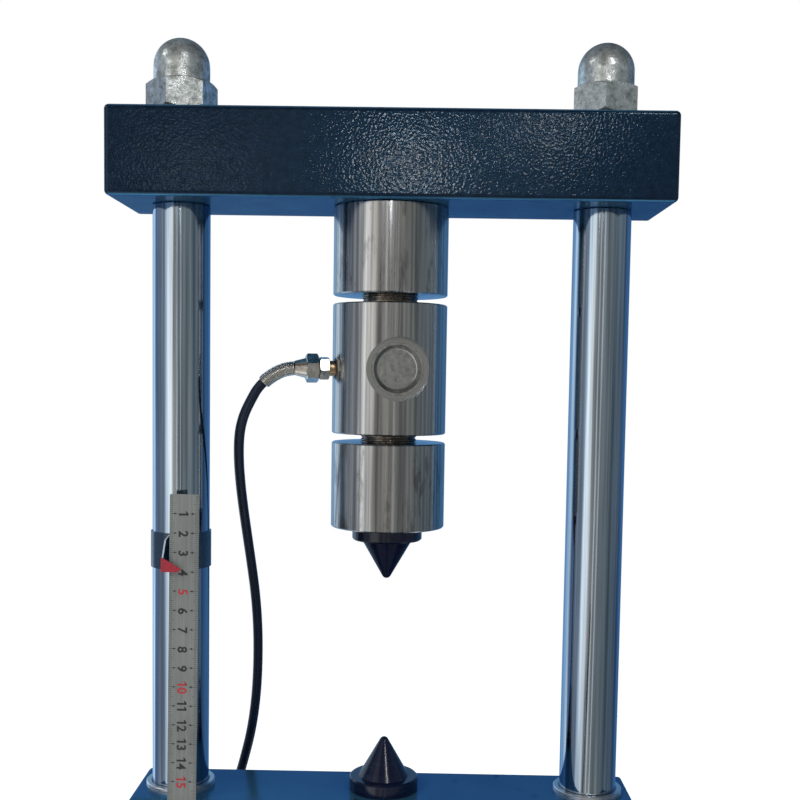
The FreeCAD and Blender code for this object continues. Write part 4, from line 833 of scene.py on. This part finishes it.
def floor():
    """A pale floor that turns white away from the object and keeps its shadow."""
    mesh = bmesh.new()
    bmesh.ops.create_circle(mesh, cap_ends=True, segments=FLOOR_SIDES, radius=FLOOR_RADIUS)
    piece = mesh_piece("floor", mesh)
    material = bpy.data.materials.new("floor")
    tree, surface = empty_tree(material, "ShaderNodeOutputMaterial")
    lit = blend_nodes(tree, "ShaderNodeAddShader", color_node(tree, "ShaderNodeBsdfDiffuse", PALE),
                      color_node(tree, "ShaderNodeEmission", WHITE, FLOOR_GLOW))
    white = color_node(tree, "ShaderNodeEmission", WHITE, 1.0)
    coords = tree.nodes.new("ShaderNodeTexCoord")
    away = tree.nodes.new("ShaderNodeVectorMath")
    away.operation = "LENGTH"
    fade = tree.nodes.new("ShaderNodeMapRange")
    fade.interpolation_type = "SMOOTHSTEP"
    fade.inputs["From Min"].default_value = FLOOR_FADE[0]
    fade.inputs["From Max"].default_value = FLOOR_FADE[1]
    tree.links.new(coords.outputs["Object"], away.inputs[0])
    tree.links.new(away.outputs["Value"], fade.inputs["Value"])
    seen = blend_nodes(tree, "ShaderNodeMixShader", lit, white, fade.outputs["Result"])
    plain = color_node(tree, "ShaderNodeBsdfDiffuse", PALE)
    shown = blend_nodes(tree, "ShaderNodeMixShader", plain, seen, background_rays(tree))
    tree.links.new(shown, surface)
    piece.data.materials.append(material)


def world():
    """Soft light from all round, and white where the background is seen."""
    sky = bpy.data.worlds.new("studio")
    tree, surface = empty_tree(sky, "ShaderNodeOutputWorld")
    light = color_node(tree, "ShaderNodeBackground", SKY, SKY_STRENGTH)
    white = color_node(tree, "ShaderNodeBackground", WHITE, 1.0)
    tree.links.new(blend_nodes(tree, "ShaderNodeMixShader", light, white, background_rays(tree)),
                   surface)
    scene.world = sky


def cards():
    """A round of cards with a dim ceiling, which shows only in reflections."""
    mesh = bmesh.new()
    rings = []
    for radius, height in CARD_SECTION:
        angles = [2.0 * math.pi * k / CARD_SIDES for k in range(CARD_SIDES)]
        rings.append([mesh.verts.new((radius * math.sin(angle), -radius * math.cos(angle), height))
                      for angle in angles])
    for low, high in zip(rings, rings[1:]):
        for k in range(CARD_SIDES):
            after = (k + 1) % CARD_SIDES
            mesh.faces.new((low[k], low[after], high[after], high[k]))
    piece = mesh_piece("cards", mesh)
    material = bpy.data.materials.new("cards")
    tree, surface = empty_tree(material, "ShaderNodeOutputMaterial")
    coords = tree.nodes.new("ShaderNodeTexCoord")
    split = tree.nodes.new("ShaderNodeSeparateXYZ")
    turn = tree.nodes.new("ShaderNodeMath")
    turn.operation = "ARCTAN2"
    place = tree.nodes.new("ShaderNodeMapRange")
    place.inputs["From Min"].default_value = -math.pi
    place.inputs["From Max"].default_value = math.pi
    front = tree.nodes.new("ShaderNodeMath")
    front.operation = "MULTIPLY"
    front.inputs[1].default_value = -1.0
    dim = tree.nodes.new("ShaderNodeMapRange")
    dim.inputs["From Min"].default_value = CARD_DIMMING[0]
    dim.inputs["From Max"].default_value = CARD_DIMMING[1]
    dim.inputs["To Min"].default_value = 1.0
    dim.inputs["To Max"].default_value = CARD_DIMMING[2]
    ramp = tree.nodes.new("ShaderNodeValToRGB")
    elements = ramp.color_ramp.elements
    while len(elements) < len(CARD_STOPS):
        elements.new(0.5)
    for element, (degrees, color) in zip(elements, CARD_STOPS):
        element.position = (degrees + 180.0) / 360.0
        element.color = (*color, 1.0)
    glow = tree.nodes.new("ShaderNodeEmission")
    tree.links.new(coords.outputs["Object"], split.inputs[0])
    tree.links.new(split.outputs["X"], turn.inputs[0])
    tree.links.new(split.outputs["Y"], front.inputs[0])
    tree.links.new(front.outputs["Value"], turn.inputs[1])
    tree.links.new(split.outputs["Z"], dim.inputs["Value"])
    tree.links.new(dim.outputs["Result"], glow.inputs["Strength"])
    tree.links.new(turn.outputs["Value"], place.inputs["Value"])
    tree.links.new(place.outputs["Result"], ramp.inputs["Fac"])
    tree.links.new(ramp.outputs["Color"], glow.inputs["Color"])
    tree.links.new(glow.outputs[0], surface)
    piece.data.materials.append(material)
    piece.visible_camera = False
    piece.visible_diffuse = False
    piece.visible_transmission = False
    piece.visible_shadow = False


def lamp(name, place, target, size, power, color=WHITE, glossy=False):
    """An area lamp; only a glossy one shows in reflections."""
    data = bpy.data.lights.new(name, "AREA")
    data.shape = "RECTANGLE"
    data.size, data.size_y = size
    data.energy = power
    data.color = color
    piece = add_object(name, data)
    piece.location = place
    aim = Vector(target) - Vector(place)
    piece.rotation_euler = aim.to_track_quat("-Z", "Y").to_euler()
    piece.visible_glossy = glossy


MIDDLE = (0.0, 0.0, 0.4)
floor()
world()
cards()
lamp("key", (-1.5, -1.5, 2.1), MIDDLE, (1.2, 1.2), 32.0, (1.0, 0.98, 0.95))
lamp("fill", (1.9, -1.1, 1.0), MIDDLE, (1.0, 1.4), 12.0, (0.92, 0.96, 1.0))
lamp("back", (0.3, 2.0, 1.6), MIDDLE, (1.6, 0.8), 14.0, (0.95, 0.98, 1.0))
lamp("side", (-1.7, -0.35, 1.9), MIDDLE, (0.3, 0.3), 3.0, glossy=True)
lamp("strip", (0.47, -1.28, 1.48), (0.0, 0.0, 0.3), (0.07, 0.5), 3.4, glossy=True)
lamp("glint", (0.0, -1.5, 0.88), (0.0, 0.0, 0.6), (0.075, 0.05), 0.62, glossy=True)
lamp("right_glint", (0.26, -1.5, 0.985), (0.1, 0.0, 0.6), (0.07, 0.04), 0.36, glossy=True)
lamp("left_glint", (-0.40, -1.5, 0.86), (-0.1, 0.0, 0.6), (0.12, 0.06), 0.10, glossy=True)


def camera():
    """The photograph's point of view: a little tilt, with the rest of it as picture shift."""
    axes = (Matrix.Rotation(CAMERA_YAW, 3, "Z") @ Matrix.Rotation(CAMERA_PITCH, 3, "X")
            @ Matrix.Rotation(CAMERA_ROLL, 3, "Y"))
    right, forward, up = axes.col
    data = bpy.data.cameras.new("camera")
    data.sensor_width = SENSOR
    data.lens = FOCAL_PIXELS / PICTURE * SENSOR
    data.shift_y = (HORIZON_PIXEL - PICTURE / 2.0) / PICTURE
    data.clip_start = 0.01
    piece = add_object("camera", data)
    turn = Matrix((right, up, -forward)).transposed().to_4x4()
    piece.matrix_world = Matrix.Translation(CAMERA_AT) @ turn
    scene.camera = piece


camera()
scene.view_settings.view_transform = "Standard"
